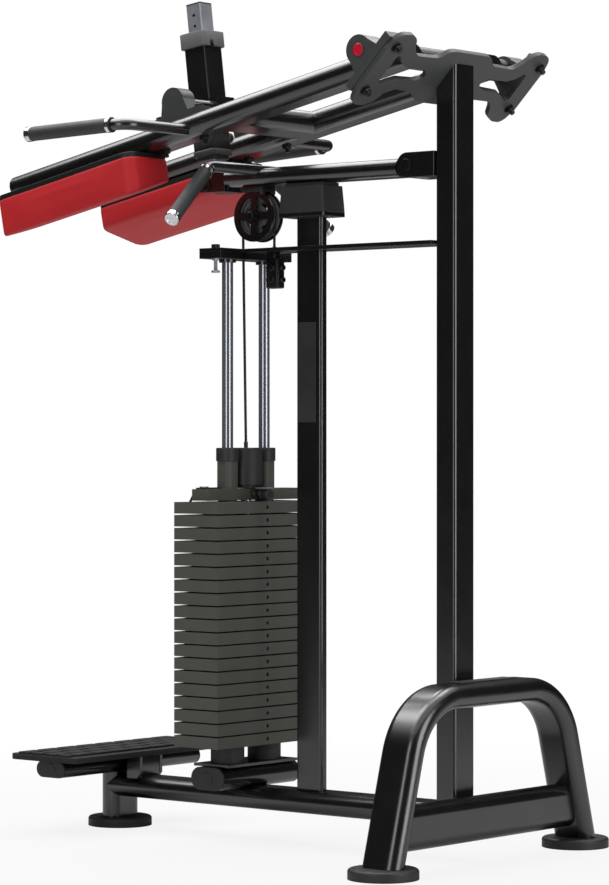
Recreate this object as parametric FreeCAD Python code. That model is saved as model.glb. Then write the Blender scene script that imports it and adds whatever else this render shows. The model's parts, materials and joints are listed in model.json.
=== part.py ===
import FreeCAD, Part
import math
import os

# A standing calf raise machine. X runs across, -Y is the user's side, +Z is up and the floor is Z = 0.
# Places are worked out from the weight stack's centre at Y = 0, and the whole machine is then
# set with the middle of its length over the origin. All sizes are in millimetres.

# Tube stock
OVAL_WIDTH = 95.0
OVAL_HEIGHT = 50.0
TUBE_WALL = 3.0
CAP_THICKNESS = 5.0
WELD_PLATE = 8.0

# Floor feet
FOOT_DIAMETER = 146.7
FOOT_HEIGHT = 22.0
FOOT_EDGE_RADIUS = 7.0
FOOT_BOLT_CIRCLE = 120.0
FOOT_HOLE_DIAMETER = 8.0
FOOT_HOLE_COUNT = 4

# Base rail and front post
RAIL_CENTRE_Z = 95.0
FRONT_POST_Y = -383.0

# Foot platform
PLATFORM_TUBE_WIDTH = 86.0
PLATFORM_TUBE_HEIGHT = 38.0
PLATFORM_TUBE_LENGTH = 454.0
PLATFORM_TUBE_BOTTOM = 126.5
PLATFORM_WIDTH = 508.0
PLATFORM_DEPTH = 204.0
PLATFORM_REAR_Y = -286.0
PLATFORM_THICKNESS = 15.0
PLATFORM_CORNER_RADIUS = 60.0
PLATFORM_FRONT_RADIUS = 8.0
TREAD_HEIGHT = 3.0
TREAD_BAR_LENGTH = 44.0
TREAD_BAR_WIDTH = 13.0
TREAD_GAP = 7.0
GUSSET_OUTER_SPREAD = 76.0
GUSSET_LENGTH = 40.0
GUSSET_CHAMFER = 10.0

# Main column and rear arch
COLUMN_WIDTH = 70.0
COLUMN_DEPTH = 52.0
COLUMN_CORNER_RADIUS = 7.0
COLUMN_Y = 584.0
COLUMN_TOP_CENTRE_Z = 1658.0
ARCH_TOP_Z = 382.0
ARCH_FOOT_SPREAD = 680.0
ARCH_LEAN = 16.0
ARCH_BEND_RADIUS = 150.0
CROSSBEAM_CENTRE_Z = 95.0
PLAQUE_LENGTH = 190.0
PLAQUE_WIDTH = 34.0
PLAQUE_THICKNESS = 3.0

# Top bracket, a flat plate cut to shape and set at 45 degrees on the column
BRACKET_ANGLE = 45.0
BRACKET_THICKNESS = 12.0
BRACKET_HALF_SPAN = 277.0
BRACKET_DEPTH = 192.0
BRACKET_EDGE_RADIUS = 20.0
BRACKET_HALF_OUTLINE_SHARES = [
    (0.200, 0.339, 1.50), (0.264, 0.325, 1.44), (0.345, 0.220, 1.50), (0.614, 0.208, 1.50),
    (0.700, 0.330, 1.50), (0.740, 0.425, 1.50), (0.810, 0.468, 1.50), (0.960, 0.453, 1.40),
    (1.000, 0.240, 1.50), (1.000, -0.333, 1.50), (0.946, -0.530, 1.22), (0.819, -0.527, 1.50),
    (0.722, -0.460, 1.50), (0.672, -0.320, 1.50), (0.610, -0.262, 1.50), (0.395, -0.265, 1.50),
    (0.321, -0.330, 1.50), (0.235, -0.392, 1.50),
]
BRACKET_WINDOW_SHARES = [
    (0.325, -0.057, 0.40), (0.402, 0.041, 1.00), (0.643, 0.041, 1.00), (0.733, 0.100, 1.00),
    (0.822, 0.220, 0.37), (0.832, -0.256, 0.51), (0.716, -0.167, 1.00), (0.645, -0.122, 1.00),
    (0.433, -0.110, 1.00),
]

# Pivot housings: round blocks with a bolted foot
HOUSING_RADIUS = 32.0
HOUSING_RISE = 44.0
HOUSING_FOOT_LENGTH = 148.0
HOUSING_FOOT_THICKNESS = 17.5
HOUSING_SHOULDER_WIDTH = 80.0
HOUSING_BOLT_SPACING = 116.0
UPPER_HOUSING_WIDTH = 50.0
UPPER_HOUSING_X = 253.0
UPPER_HOUSING_SHIFT = -3.0
POST_HOUSING_WIDTH = 40.0
POST_HOUSING_FLOOR = 6.0
BOLT_DIAMETER = 12.0
BOLT_HEAD_ACROSS = 19.0
BOLT_HEAD_HEIGHT = 8.0
RUNNING_CLEARANCE = 0.05
PIVOT_SHAFT_DIAMETER = 30.0
BEARING_CAP_THICKNESS = 4.0
BEARING_CAP_PROUD = 1.5
SHAFT_END_GAP = 0.5

# Press arm: two sloping oval tubes on a torque tube
ARM_SLOPE = 11.49
ARM_TUBE_X = 142.0
ARM_TUBE_DROP = 3.4
ARM_FRONT_REACH = 1120.0
ARM_REAR_REACH = 28.0
ARM_END_RADIUS = 10.0
TORQUE_TUBE_DIAMETER = 50.0
TORQUE_TUBE_END_GAP = 3.0
CROSSBAR_REACH = 480.0
POST_PIVOT_REACH = 617.0

# Shoulder pads
PAD_X = 169.0
PAD_WIDTH = 145.0
PAD_LENGTH = 428.0
PAD_START_REACH = 699.0
PAD_INNER_THICKNESS = 51.0
PAD_OUTER_THICKNESS = 90.0
PAD_CORNER_RADIUS = 30.0
PAD_BOARD_THICKNESS = 12.0
PAD_BOARD_INSET = 3.0
PAD_SCREW_DIAMETER = 14.0
PAD_SCREW_HEIGHT = 4.0
PAD_SCREW_COUNT = 3
PAD_SCREW_EDGE = 54.0

# Handles
HANDLE_DIAMETER = 25.4
GRIP_DIAMETER = 32.0
GRIP_LENGTH = 232.0
LOWER_GRIP_LENGTH = 205.0
GRIP_NECK = 4.0
GRIP_RING_LENGTH = 9.0
GRIP_RING_DIAMETER = 33.5
GRIP_END_LENGTH = 14.0
UPPER_HANDLE_ROOT_REACH = 568.0
UPPER_HANDLE_ROOT_DROP = 13.0
UPPER_HANDLE_BEND_REACH = 597.0
UPPER_HANDLE_BEND_X = 356.0
UPPER_HANDLE_END_REACH = 856.5
UPPER_HANDLE_END_X = 383.0
UPPER_HANDLE_END_RISE = 38.6
UPPER_HANDLE_BEND_RADIUS = 38.0
LOWER_HANDLE_ROOT_Y = 90.0
LOWER_HANDLE_ROOT_RISE = 6.0
LOWER_HANDLE_BEND_X = 95.0
LOWER_HANDLE_BEND_Y = -25.0
LOWER_HANDLE_BEND_RISE = 21.0
LOWER_HANDLE_END_X = 269.5
LOWER_HANDLE_END_Y = 19.0
LOWER_HANDLE_END_DROP = 107.0
LOWER_HANDLE_BEND_RADIUS = 20.0

# Weight arm, its pivot and the post yoke at its front
WEIGHT_PIVOT_Y = 485.0
WEIGHT_PIVOT_Z = 1476.0
WEIGHT_ARM_WIDTH = 75.0
WEIGHT_ARM_HEIGHT = 39.0
WEIGHT_ARM_DROP = 3.0
WEIGHT_ARM_FRONT_Y = -35.0
WEIGHT_ARM_REAR_GAP = 33.0
EAR_HEIGHT = 54.0
EAR_THICKNESS = 10.0
EAR_OUTER_SPREAD = 82.0
EAR_SIDE_GAP = 1.5
HUB_RADIUS = 27.0
NECK_HEIGHT = 32.0
WEIGHT_BOLT_DIAMETER = 20.0
WEIGHT_BOLT_HEAD_DIAMETER = 26.0
WEIGHT_BOLT_HEAD_HEIGHT = 5.0
FOOT_PIVOT_Y = -89.0
FOOT_PIVOT_DROP = 16.0
YOKE_GAP = 46.0
YOKE_THICKNESS = 10.0
YOKE_HEIGHT = 50.0
YOKE_FRONT_REACH = 26.0
YOKE_FLOOR = 5.0
FOOT_PIN_DIAMETER = 16.0
FOOT_PIN_HEAD_DIAMETER = 26.0
FOOT_PIN_HEAD_HEIGHT = 4.0
FOOT_PIN_HEAD_GAP = 0.3

# Telescoping post
POST_LEAN = 7.1
POST_WIDTH = 42.0
POST_WALL = 3.0
POST_CORNER_RADIUS = 3.0
POST_TOP_REACH = 415.0
POST_BOTTOM_REACH = 9.0
POST_HOLE_PITCH = 25.0
POST_HOLE_DIAMETER = 8.0
SLEEVE_WIDTH = 60.0
SLEEVE_WALL = 4.0
SLEEVE_BOTTOM_REACH = 77.0
SLEEVE_TOP_REACH = 338.0
COLLAR_WIDTH = 73.0
COLLAR_HEIGHT = 31.0
COLLAR_LIP = 10.0
COLLAR_NOTCH_WIDTH = 11.0
COLLAR_NOTCH_HEIGHT = 16.0
BOOT_WIDTH = 64.0
BOOT_HEIGHT = 17.0
GUIDE_CLEARANCE = 0.3
TRUNNION_DIAMETER = 25.0
TRUNNION_CLEARANCE = 4.0
TRUNNION_BLOCK_HEIGHT = 44.0
TRUNNION_BLOCK_MARGIN = 17.0
TRUNNION_END_GAP = 6.0
LOCK_PIN_REACH = 115.0
LOCK_PIN_DIAMETER = 7.0
LOCK_BOSS_DIAMETER = 20.0
LOCK_BOSS_LENGTH = 9.0
LOCK_KNOB_DIAMETER = 24.0
LOCK_KNOB_LENGTH = 16.0
LOCK_PIN_TRAVEL = 12.0

# Weight stack
PLATE_LENGTH = 339.0
PLATE_DEPTH = 127.6
PLATE_THICKNESS = 25.4
PLATE_SPACER = 3.2
PLATE_COUNT = 19
SPACER_DIAMETER = 42.0
ROD_DIAMETER = 25.0
ROD_SPREAD = 125.8
ROD_HOLE_CLEARANCE = 1.5
PIN_HOLE_DIAMETER = 9.0
PIN_DIAMETER = 8.0
SELECTOR_DIAMETER = 24.0
SELECTOR_BORE_CLEARANCE = 1.5
SELECTOR_TAIL_GAP = 8.0
HEAD_PLATE_LENGTH = 310.0
HEAD_PLATE_DEPTH = 48.0
SLEEVE_TUBE_DIAMETER = 43.0
SLEEVE_TUBE_HEIGHT = 61.0
HEAD_COLLAR_DIAMETER = 50.0
HEAD_COLLAR_HEIGHT = 30.0
DRUM_DIAMETER = 72.0
DRUM_HEIGHT = 84.0
DRUM_WEB_DEPTH = 22.0
PIN_INNER_REACH = 6.0
PIN_KNOB_DIAMETER = 27.0
PIN_KNOB_LENGTH = 36.0
PIN_KNOB_GAP = 12.0
PIN_TAB_WIDTH = 30.0
PIN_TAB_THICKNESS = 4.0
PIN_TRAVEL = 45.0

# Stack base
STACK_TUBE_LENGTH = 254.0
STACK_TUBE_HEIGHT = 51.0
STACK_TUBE_SINK = 4.0
STACK_PLATE_LENGTH = 236.0
STACK_PLATE_DEPTH = 102.0
STACK_PLATE_THICKNESS = 6.0
BUMPER_DIAMETER = 75.0
BUMPER_HEIGHT = 39.0

# Guide rod head and strap
GUIDE_HEAD_LENGTH = 244.0
GUIDE_HEAD_DEPTH = 63.0
GUIDE_HEAD_HEIGHT = 15.0
GUIDE_HEAD_BOTTOM = 1290.0
ROD_SEAT_DEPTH = 10.0
ROD_COLLAR_DIAMETER = 38.0
ROD_COLLAR_HEIGHT = 7.0
STRAP_THICKNESS = 8.0
STRAP_WIDTH = 100.0
STOP_BOLT_X = 103.0
STOP_BOLT_DIAMETER = 9.0
STOP_CAP_DIAMETER = 19.0
STOP_CAP_HEIGHT = 9.0
STOP_NUT_DIAMETER = 15.0
STOP_NUT_HEIGHT = 9.0
STOP_STUD_LENGTH = 22.0
STOP_FOOT_HEIGHT = 5.0

# Centre column and its bumper
CENTRE_COLUMN_WIDTH = 24.0
CENTRE_COLUMN_DEPTH = 72.0
CENTRE_COLUMN_CORNER_RADIUS = 8.0
CENTRE_COLUMN_Y = 190.7
BUMPER_PLATE_THICKNESS = 10.0
BUMPER_BASE_WIDTH = 77.0
BUMPER_BASE_DEPTH = 128.0
BUMPER_TOP_WIDTH = 72.0
BUMPER_TOP_DEPTH = 118.0
BUMPER_CORNER_RADIUS = 4.0
BUMPER_BLOCK_HEIGHT = 58.5
STRIKE_PAD_THICKNESS = 7.0
STRIKE_PAD_WIDTH = 56.0
STRIKE_PAD_LENGTH = 108.0

# Pulley and cable
PULLEY_Y = 37.0
PULLEY_DROP = 89.0
PULLEY_GROOVE_RADIUS = 46.0
PULLEY_RIM_RADIUS = 54.0
PULLEY_WIDTH = 22.0
PULLEY_WEB_WIDTH = 9.0
PULLEY_RIM_DEPTH = 13.0
PULLEY_HUB_RADIUS = 18.0
PULLEY_SPOKE_WIDTH = 15.0
PULLEY_SIDE_GAP = 3.0
CHEEK_RADIUS = 57.0
CHEEK_THICKNESS = 4.0
CHEEK_NECK_WIDTH = 48.0
CHEEK_WINDOW_INNER = 20.0
CHEEK_WINDOW_OUTER = 43.0
CHEEK_SPOKE_WIDTH = 17.0
CHEEK_MOUNT_THICKNESS = 6.0
CHEEK_MOUNT_LENGTH = 64.0
PULLEY_BOLT_DIAMETER = 12.0
PULLEY_BOLT_HEAD_DIAMETER = 21.0
PULLEY_BOLT_HEAD_HEIGHT = 6.0
CABLE_DIAMETER = 6.0
CABLE_JOIN_GAP = 0.3
CABLE_HOLE_DIAMETER = 18.0
CLAMP_WIDTH = 26.0
CLAMP_DEPTH = 28.0
CLAMP_HEIGHT = 74.0
CLAMP_CORNER_RADIUS = 3.0
CLAMP_SCREW_DIAMETER = 6.0
CLAMP_SCREW_HEAD_DIAMETER = 11.0
CLAMP_SCREW_HEAD_HEIGHT = 6.0
CLAMP_SCREW_EDGE = 23.0

# How far a cutting tool runs past what it cuts
OVERRUN = 20.0

# Levels and places that follow from the sizes above
RAIL_TOP = RAIL_CENTRE_Z + OVAL_HEIGHT / 2
PLATFORM_BOTTOM = PLATFORM_TUBE_BOTTOM + PLATFORM_TUBE_HEIGHT
PLATFORM_Y = PLATFORM_REAR_Y - PLATFORM_DEPTH / 2
COLUMN_FRONT_Y = COLUMN_Y - COLUMN_DEPTH / 2
ARCH_Y = COLUMN_Y + COLUMN_DEPTH / 2 + OVAL_WIDTH / 2
STACK_TUBE_Z = RAIL_TOP - STACK_TUBE_SINK + STACK_TUBE_HEIGHT / 2
STACK_PLATE_TOP = STACK_TUBE_Z + STACK_TUBE_HEIGHT / 2 + STACK_PLATE_THICKNESS
STACK_BOTTOM = STACK_PLATE_TOP + BUMPER_HEIGHT
PLATE_PITCH = PLATE_THICKNESS + PLATE_SPACER
HEAD_PLATE_BOTTOM = STACK_BOTTOM + PLATE_COUNT * PLATE_PITCH
HEAD_PLATE_TOP = HEAD_PLATE_BOTTOM + PLATE_THICKNESS
HEAD_COLLAR_BOTTOM = HEAD_PLATE_TOP + SLEEVE_TUBE_HEIGHT
HEAD_TOP = HEAD_COLLAR_BOTTOM + HEAD_COLLAR_HEIGHT
STRAP_BOTTOM = GUIDE_HEAD_BOTTOM + GUIDE_HEAD_HEIGHT
STRAP_TOP = STRAP_BOTTOM + STRAP_THICKNESS
WEIGHT_ARM_Z = WEIGHT_PIVOT_Z - WEIGHT_ARM_DROP
WEIGHT_ARM_BOTTOM = WEIGHT_ARM_Z - WEIGHT_ARM_HEIGHT / 2
BUMPER_TOP = WEIGHT_ARM_BOTTOM - STRIKE_PAD_THICKNESS
BUMPER_BOTTOM = BUMPER_TOP - BUMPER_BLOCK_HEIGHT
PULLEY_Z = WEIGHT_PIVOT_Z - PULLEY_DROP
FOOT_PIVOT_Z = WEIGHT_PIVOT_Z - FOOT_PIVOT_DROP
STRAND_FRONT_Y = PULLEY_Y - PULLEY_GROOVE_RADIUS
STRAND_REAR_Y = PULLEY_Y + PULLEY_GROOVE_RADIUS

X_AXIS = FreeCAD.Vector(1, 0, 0)
Y_AXIS = FreeCAD.Vector(0, 1, 0)
Z_AXIS = FreeCAD.Vector(0, 0, 1)
BRACKET_UP = FreeCAD.Vector(0, math.cos(math.radians(BRACKET_ANGLE)), math.sin(math.radians(BRACKET_ANGLE)))
BRACKET_OUT = FreeCAD.Vector(0, -math.sin(math.radians(BRACKET_ANGLE)), math.cos(math.radians(BRACKET_ANGLE)))
ARM_FORWARD = FreeCAD.Vector(0, -math.cos(math.radians(ARM_SLOPE)), -math.sin(math.radians(ARM_SLOPE)))
ARM_UP = FreeCAD.Vector(0, -math.sin(math.radians(ARM_SLOPE)), math.cos(math.radians(ARM_SLOPE)))
POST_UP = FreeCAD.Vector(0, -math.sin(math.radians(POST_LEAN)), math.cos(math.radians(POST_LEAN)))
POST_REAR = FreeCAD.Vector(0, math.cos(math.radians(POST_LEAN)), math.sin(math.radians(POST_LEAN)))

BRACKET_ORIGIN = FreeCAD.Vector(0, COLUMN_Y, COLUMN_TOP_CENTRE_Z)
PRESS_PIVOT = (
    BRACKET_ORIGIN
    + BRACKET_UP * UPPER_HOUSING_SHIFT
    + BRACKET_OUT * (BRACKET_THICKNESS + HOUSING_RISE)
)
ARM_TOP_RISE = OVAL_HEIGHT / 2 - ARM_TUBE_DROP
ARM_BOTTOM_RISE = -OVAL_HEIGHT / 2 - ARM_TUBE_DROP
POST_PIVOT_RISE = ARM_TOP_RISE + HOUSING_RISE
POST_PIVOT = PRESS_PIVOT + ARM_FORWARD * POST_PIVOT_REACH + ARM_UP * POST_PIVOT_RISE
FOOT_PIVOT = FreeCAD.Vector(0, FOOT_PIVOT_Y, FOOT_PIVOT_Z)
WEIGHT_PIVOT = FreeCAD.Vector(0, WEIGHT_PIVOT_Y, WEIGHT_PIVOT_Z)
PULLEY_CENTRE = FreeCAD.Vector(0, PULLEY_Y, PULLEY_Z)


# Shape helpers

def arm_point(x, reach, rise):
    """A point of the press arm: across, forward along the arm and above its pivot line."""
    return PRESS_PIVOT + X_AXIS * x + ARM_FORWARD * reach + ARM_UP * rise


def post_point(x, reach, rear=0.0):
    """A point of the telescoping post, measured up its axis from the foot pivot."""
    return FOOT_PIVOT + X_AXIS * x + POST_UP * reach + POST_REAR * rear


def bracket_point(x, up, out=0.0):
    """A point of the top bracket, measured in its own plane from the column's centre."""
    return BRACKET_ORIGIN + X_AXIS * x + BRACKET_UP * up + BRACKET_OUT * out


def block(size_x, size_y, size_z, centre):
    """A plain box about its centre."""
    corner = centre - FreeCAD.Vector(size_x / 2, size_y / 2, size_z / 2)
    return Part.makeBox(size_x, size_y, size_z, corner)


def bar(start, end, radius):
    """A round bar from one point to another."""
    run = end - start
    return Part.makeCylinder(radius, run.Length, start, run)


def ring(start, end, outer_radius, inner_radius):
    """A plain round tube from one point to another."""
    run = end - start
    outer = Part.makeCylinder(outer_radius, run.Length, start, run)
    inner = Part.makeCylinder(inner_radius, run.Length, start, run)
    return outer.cut(inner)


def outline(origin, across, along, corners):
    """A closed loop in a plane, with each corner given as (across, along, radius)."""
    points = [origin + across * a + along * b for a, b, _ in corners]
    radii = [radius for _, _, radius in corners]
    count = len(points)
    ends = []
    for index in range(count):
        before = (points[index - 1] - points[index]).normalize()
        after = (points[(index + 1) % count] - points[index]).normalize()
        half_angle = before.getAngle(after) / 2
        radius = radii[index]
        if radius == 0:
            ends.append((points[index], None, points[index]))
            continue
        setback = radius / math.tan(half_angle)
        middle = (before + after).normalize() * (radius / math.sin(half_angle) - radius)
        ends.append((points[index] + before * setback, points[index] + middle, points[index] + after * setback))
    edges = []
    for index in range(count):
        start, middle, end = ends[index]
        if middle is not None:
            edges.append(Part.Arc(start, middle, end).toShape())
        following = ends[(index + 1) % count][0]
        if (following - end).Length > 1e-6:
            edges.append(Part.LineSegment(end, following).toShape())
    return Part.Wire(edges)


def rectangle(origin, across, along, width, length, radius):
    """A rounded rectangle about its centre."""
    a = width / 2
    b = length / 2
    corners = [(-a, -b, radius), (a, -b, radius), (a, b, radius), (-a, b, radius)]
    return outline(origin, across, along, corners)


def oval(origin, across, along, width, height):
    """A flat oval: straight sides joined by half circles."""
    a = across * (width / 2 - height / 2)
    b = along * (height / 2)
    tip = across * (width / 2)
    edges = [
        Part.LineSegment(origin - a - b, origin + a - b).toShape(),
        Part.Arc(origin + a - b, origin + tip, origin + a + b).toShape(),
        Part.LineSegment(origin + a + b, origin - a + b).toShape(),
        Part.Arc(origin - a + b, origin - tip, origin - a - b).toShape(),
    ]
    return Part.Wire(edges)


def slab(wire, thickness):
    """A flat piece cut to a loop, with its thickness as a vector."""
    return Part.Face(wire).extrude(thickness)


def oval_bar(start, end, across, along, width, height):
    """A solid of oval section between two points."""
    return slab(oval(start, across, along, width, height), end - start)


def oval_tube(start, end, across, along, width, height):
    """A hollow oval tube between two points."""
    outer = oval_bar(start, end, across, along, width, height)
    bore = oval_bar(start, end, across, along, width - 2 * TUBE_WALL, height - 2 * TUBE_WALL)
    return outer.cut(bore)


def box_tube(start, end, across, along, width, depth, radius, wall):
    """A hollow rectangular tube between two points."""
    outer = slab(rectangle(start, across, along, width, depth, radius), end - start)
    inner_radius = max(radius - wall, 0)
    bore = slab(rectangle(start, across, along, width - 2 * wall, depth - 2 * wall, inner_radius), end - start)
    return outer.cut(bore)


def bent_path(points, radius):
    """Straight runs through points, each inner corner rounded by a tangent arc."""
    edges = []
    start = points[0]
    for index in range(1, len(points) - 1):
        before = (points[index - 1] - points[index]).normalize()
        after = (points[index + 1] - points[index]).normalize()
        half_angle = before.getAngle(after) / 2
        setback = radius / math.tan(half_angle)
        middle = (before + after).normalize() * (radius / math.sin(half_angle) - radius)
        arc_start = points[index] + before * setback
        arc_end = points[index] + after * setback
        edges.append(Part.LineSegment(start, arc_start).toShape())
        edges.append(Part.Arc(arc_start, points[index] + middle, arc_end).toShape())
        start = arc_end
    edges.append(Part.LineSegment(start, points[-1]).toShape())
    return Part.Wire(edges)


def sweep(path, section):
    """A solid of one section carried along a path."""
    return path.makePipeShell([section], True, True)


def both_sides(shape):
    """A piece and its mirror image across X = 0."""
    return [shape, shape.mirror(FreeCAD.Vector(0, 0, 0), X_AXIS)]


def hexagon_bar(start, direction, across_flats, length):
    """A six-sided bar, as on a bolt head or nut."""
    side = X_AXIS
    other = direction.cross(side).normalize()
    corner = across_flats / 2 / math.cos(math.pi / 6)
    points = []
    for index in range(6):
        angle = math.pi / 3 * index
        points.append(start + side * (corner * math.cos(angle)) + other * (corner * math.sin(angle)))
    points.append(points[0])
    return slab(Part.makePolygon(points), direction * length)


def through_bolt(start, end, diameter):
    """A bolt with a head at its start and a nut at its end, round the stated grip."""
    direction = (end - start).normalize()
    shank = bar(start, end + direction * (BOLT_HEAD_HEIGHT * 1.4), diameter / 2)
    head = hexagon_bar(start, direction * -1, BOLT_HEAD_ACROSS, BOLT_HEAD_HEIGHT)
    nut = hexagon_bar(end, direction, BOLT_HEAD_ACROSS, BOLT_HEAD_HEIGHT)
    return shank.fuse([head, nut])


# Base frame

def rail_body():
    """The rail's full outer form, which its neighbours are cut to fit."""
    start = FreeCAD.Vector(0, FRONT_POST_Y, RAIL_CENTRE_Z)
    end = FreeCAD.Vector(0, ARCH_Y, RAIL_CENTRE_Z)
    return oval_bar(start, end, X_AXIS, Z_AXIS, OVAL_WIDTH, OVAL_HEIGHT)


def front_post_body():
    """The front post's full outer form."""
    start = FreeCAD.Vector(0, FRONT_POST_Y, FOOT_HEIGHT)
    end = FreeCAD.Vector(0, FRONT_POST_Y, PLATFORM_TUBE_BOTTOM + PLATFORM_TUBE_HEIGHT / 2)
    return oval_bar(start, end, X_AXIS, Y_AXIS, OVAL_WIDTH, OVAL_HEIGHT)


def platform_tube_body():
    """The platform tube's full outer form."""
    level = PLATFORM_TUBE_BOTTOM + PLATFORM_TUBE_HEIGHT / 2
    start = FreeCAD.Vector(-PLATFORM_TUBE_LENGTH / 2, FRONT_POST_Y, level)
    end = FreeCAD.Vector(PLATFORM_TUBE_LENGTH / 2, FRONT_POST_Y, level)
    return oval_bar(start, end, Y_AXIS, Z_AXIS, PLATFORM_TUBE_WIDTH, PLATFORM_TUBE_HEIGHT)


def crossbeam_body():
    """The crossbeam's full outer form between the arch legs."""
    half = ARCH_FOOT_SPREAD / 2
    start = FreeCAD.Vector(-half, ARCH_Y, CROSSBEAM_CENTRE_Z)
    end = FreeCAD.Vector(half, ARCH_Y, CROSSBEAM_CENTRE_Z)
    return oval_bar(start, end, Z_AXIS, Y_AXIS, OVAL_WIDTH, OVAL_HEIGHT)


def arch_path():
    """The arch's centre line from below one foot over the top and down to the other."""
    lean = math.tan(math.radians(ARCH_LEAN))
    top = ARCH_TOP_Z - OVAL_HEIGHT / 2
    foot_x = ARCH_FOOT_SPREAD / 2
    low = FOOT_HEIGHT - OVERRUN
    low_x = foot_x + (FOOT_HEIGHT - low) * lean
    top_x = foot_x - (top - FOOT_HEIGHT) * lean
    points = [
        FreeCAD.Vector(low_x, ARCH_Y, low),
        FreeCAD.Vector(top_x, ARCH_Y, top),
        FreeCAD.Vector(-top_x, ARCH_Y, top),
        FreeCAD.Vector(-low_x, ARCH_Y, low),
    ]
    return points, bent_path(points, ARCH_BEND_RADIUS)


def arch_solid(width, height):
    """The arch swept with an oval of the given size and cut level at its feet."""
    points, path = arch_path()
    tangent = (points[1] - points[0]).normalize()
    inward = Y_AXIS.cross(tangent)
    section = oval(points[0], Y_AXIS, inward, width, height)
    below = block(ARCH_FOOT_SPREAD * 2, OVAL_WIDTH * 2, FOOT_HEIGHT * 2, FreeCAD.Vector(0, ARCH_Y, 0))
    return sweep(path, section).cut(below)


def foot_pad(x, y):
    """A round floor foot with rounded top edge and fixing holes."""
    disc = Part.makeCylinder(FOOT_DIAMETER / 2, FOOT_HEIGHT, FreeCAD.Vector(x, y, 0))
    rims = [edge for edge in disc.Edges if edge.Closed and edge.BoundBox.ZMin > FOOT_HEIGHT / 2]
    disc = disc.makeFillet(FOOT_EDGE_RADIUS, rims)
    for index in range(FOOT_HOLE_COUNT):
        angle = 2 * math.pi * (index + 0.5) / FOOT_HOLE_COUNT
        hole_x = x + FOOT_BOLT_CIRCLE / 2 * math.cos(angle)
        hole_y = y + FOOT_BOLT_CIRCLE / 2 * math.sin(angle)
        hole = Part.makeCylinder(FOOT_HOLE_DIAMETER / 2, FOOT_HEIGHT, FreeCAD.Vector(hole_x, hole_y, 0))
        disc = disc.cut(hole)
    return disc


def end_cap(centre, outward, across, along, width, height):
    """A closing cap on the end of an oval tube."""
    return slab(oval(centre, across, along, width, height), outward * CAP_THICKNESS)


def step_platform():
    """The foot platform: a plate with rounded rear corners and staggered raised tread bars."""
    half = PLATFORM_WIDTH / 2
    depth = PLATFORM_DEPTH / 2
    centre = FreeCAD.Vector(0, PLATFORM_Y, PLATFORM_BOTTOM)
    corners = [
        (-half, -depth, PLATFORM_FRONT_RADIUS),
        (half, -depth, PLATFORM_FRONT_RADIUS),
        (half, depth, PLATFORM_CORNER_RADIUS),
        (-half, depth, PLATFORM_CORNER_RADIUS),
    ]
    plate = slab(outline(centre, X_AXIS, Y_AXIS, corners), Z_AXIS * PLATFORM_THICKNESS)
    field = slab(outline(centre, X_AXIS, Y_AXIS, corners), Z_AXIS * (PLATFORM_THICKNESS + TREAD_HEIGHT))
    pitch_x = TREAD_BAR_LENGTH + TREAD_GAP
    pitch_y = TREAD_BAR_WIDTH + TREAD_GAP
    rows = int(PLATFORM_DEPTH / pitch_y) + 1
    columns = int(PLATFORM_WIDTH / pitch_x) + 2
    bars = []
    for row in range(rows):
        shift = pitch_x / 2 * (row % 2)
        y = PLATFORM_Y + (row - (rows - 1) / 2) * pitch_y
        for column in range(columns):
            x = (column - (columns - 1) / 2) * pitch_x + shift
            middle = FreeCAD.Vector(x, y, PLATFORM_BOTTOM + PLATFORM_THICKNESS + TREAD_HEIGHT / 2)
            bars.append(block(TREAD_BAR_LENGTH, TREAD_BAR_WIDTH, TREAD_HEIGHT, middle))
    tread = field.common(Part.makeCompound(bars))
    return plate.fuse(tread.Solids)


def gusset(rail):
    """One upright plate between the rail's shoulder and the platform."""
    outer_x = GUSSET_OUTER_SPREAD / 2
    start_y = PLATFORM_REAR_Y - GUSSET_LENGTH
    low = RAIL_CENTRE_Z
    corners = [
        (start_y, low, 0),
        (PLATFORM_REAR_Y - GUSSET_CHAMFER, low, 0),
        (PLATFORM_REAR_Y - GUSSET_CHAMFER, RAIL_TOP - GUSSET_CHAMFER / 2, 0),
        (PLATFORM_REAR_Y, RAIL_TOP + GUSSET_CHAMFER / 2, 0),
        (PLATFORM_REAR_Y, PLATFORM_BOTTOM, 0),
        (start_y, PLATFORM_BOTTOM, 0),
    ]
    origin = FreeCAD.Vector(outer_x - WELD_PLATE, 0, 0)
    plate = slab(outline(origin, Y_AXIS, Z_AXIS, corners), X_AXIS * WELD_PLATE)
    return plate.cut(rail)


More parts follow.
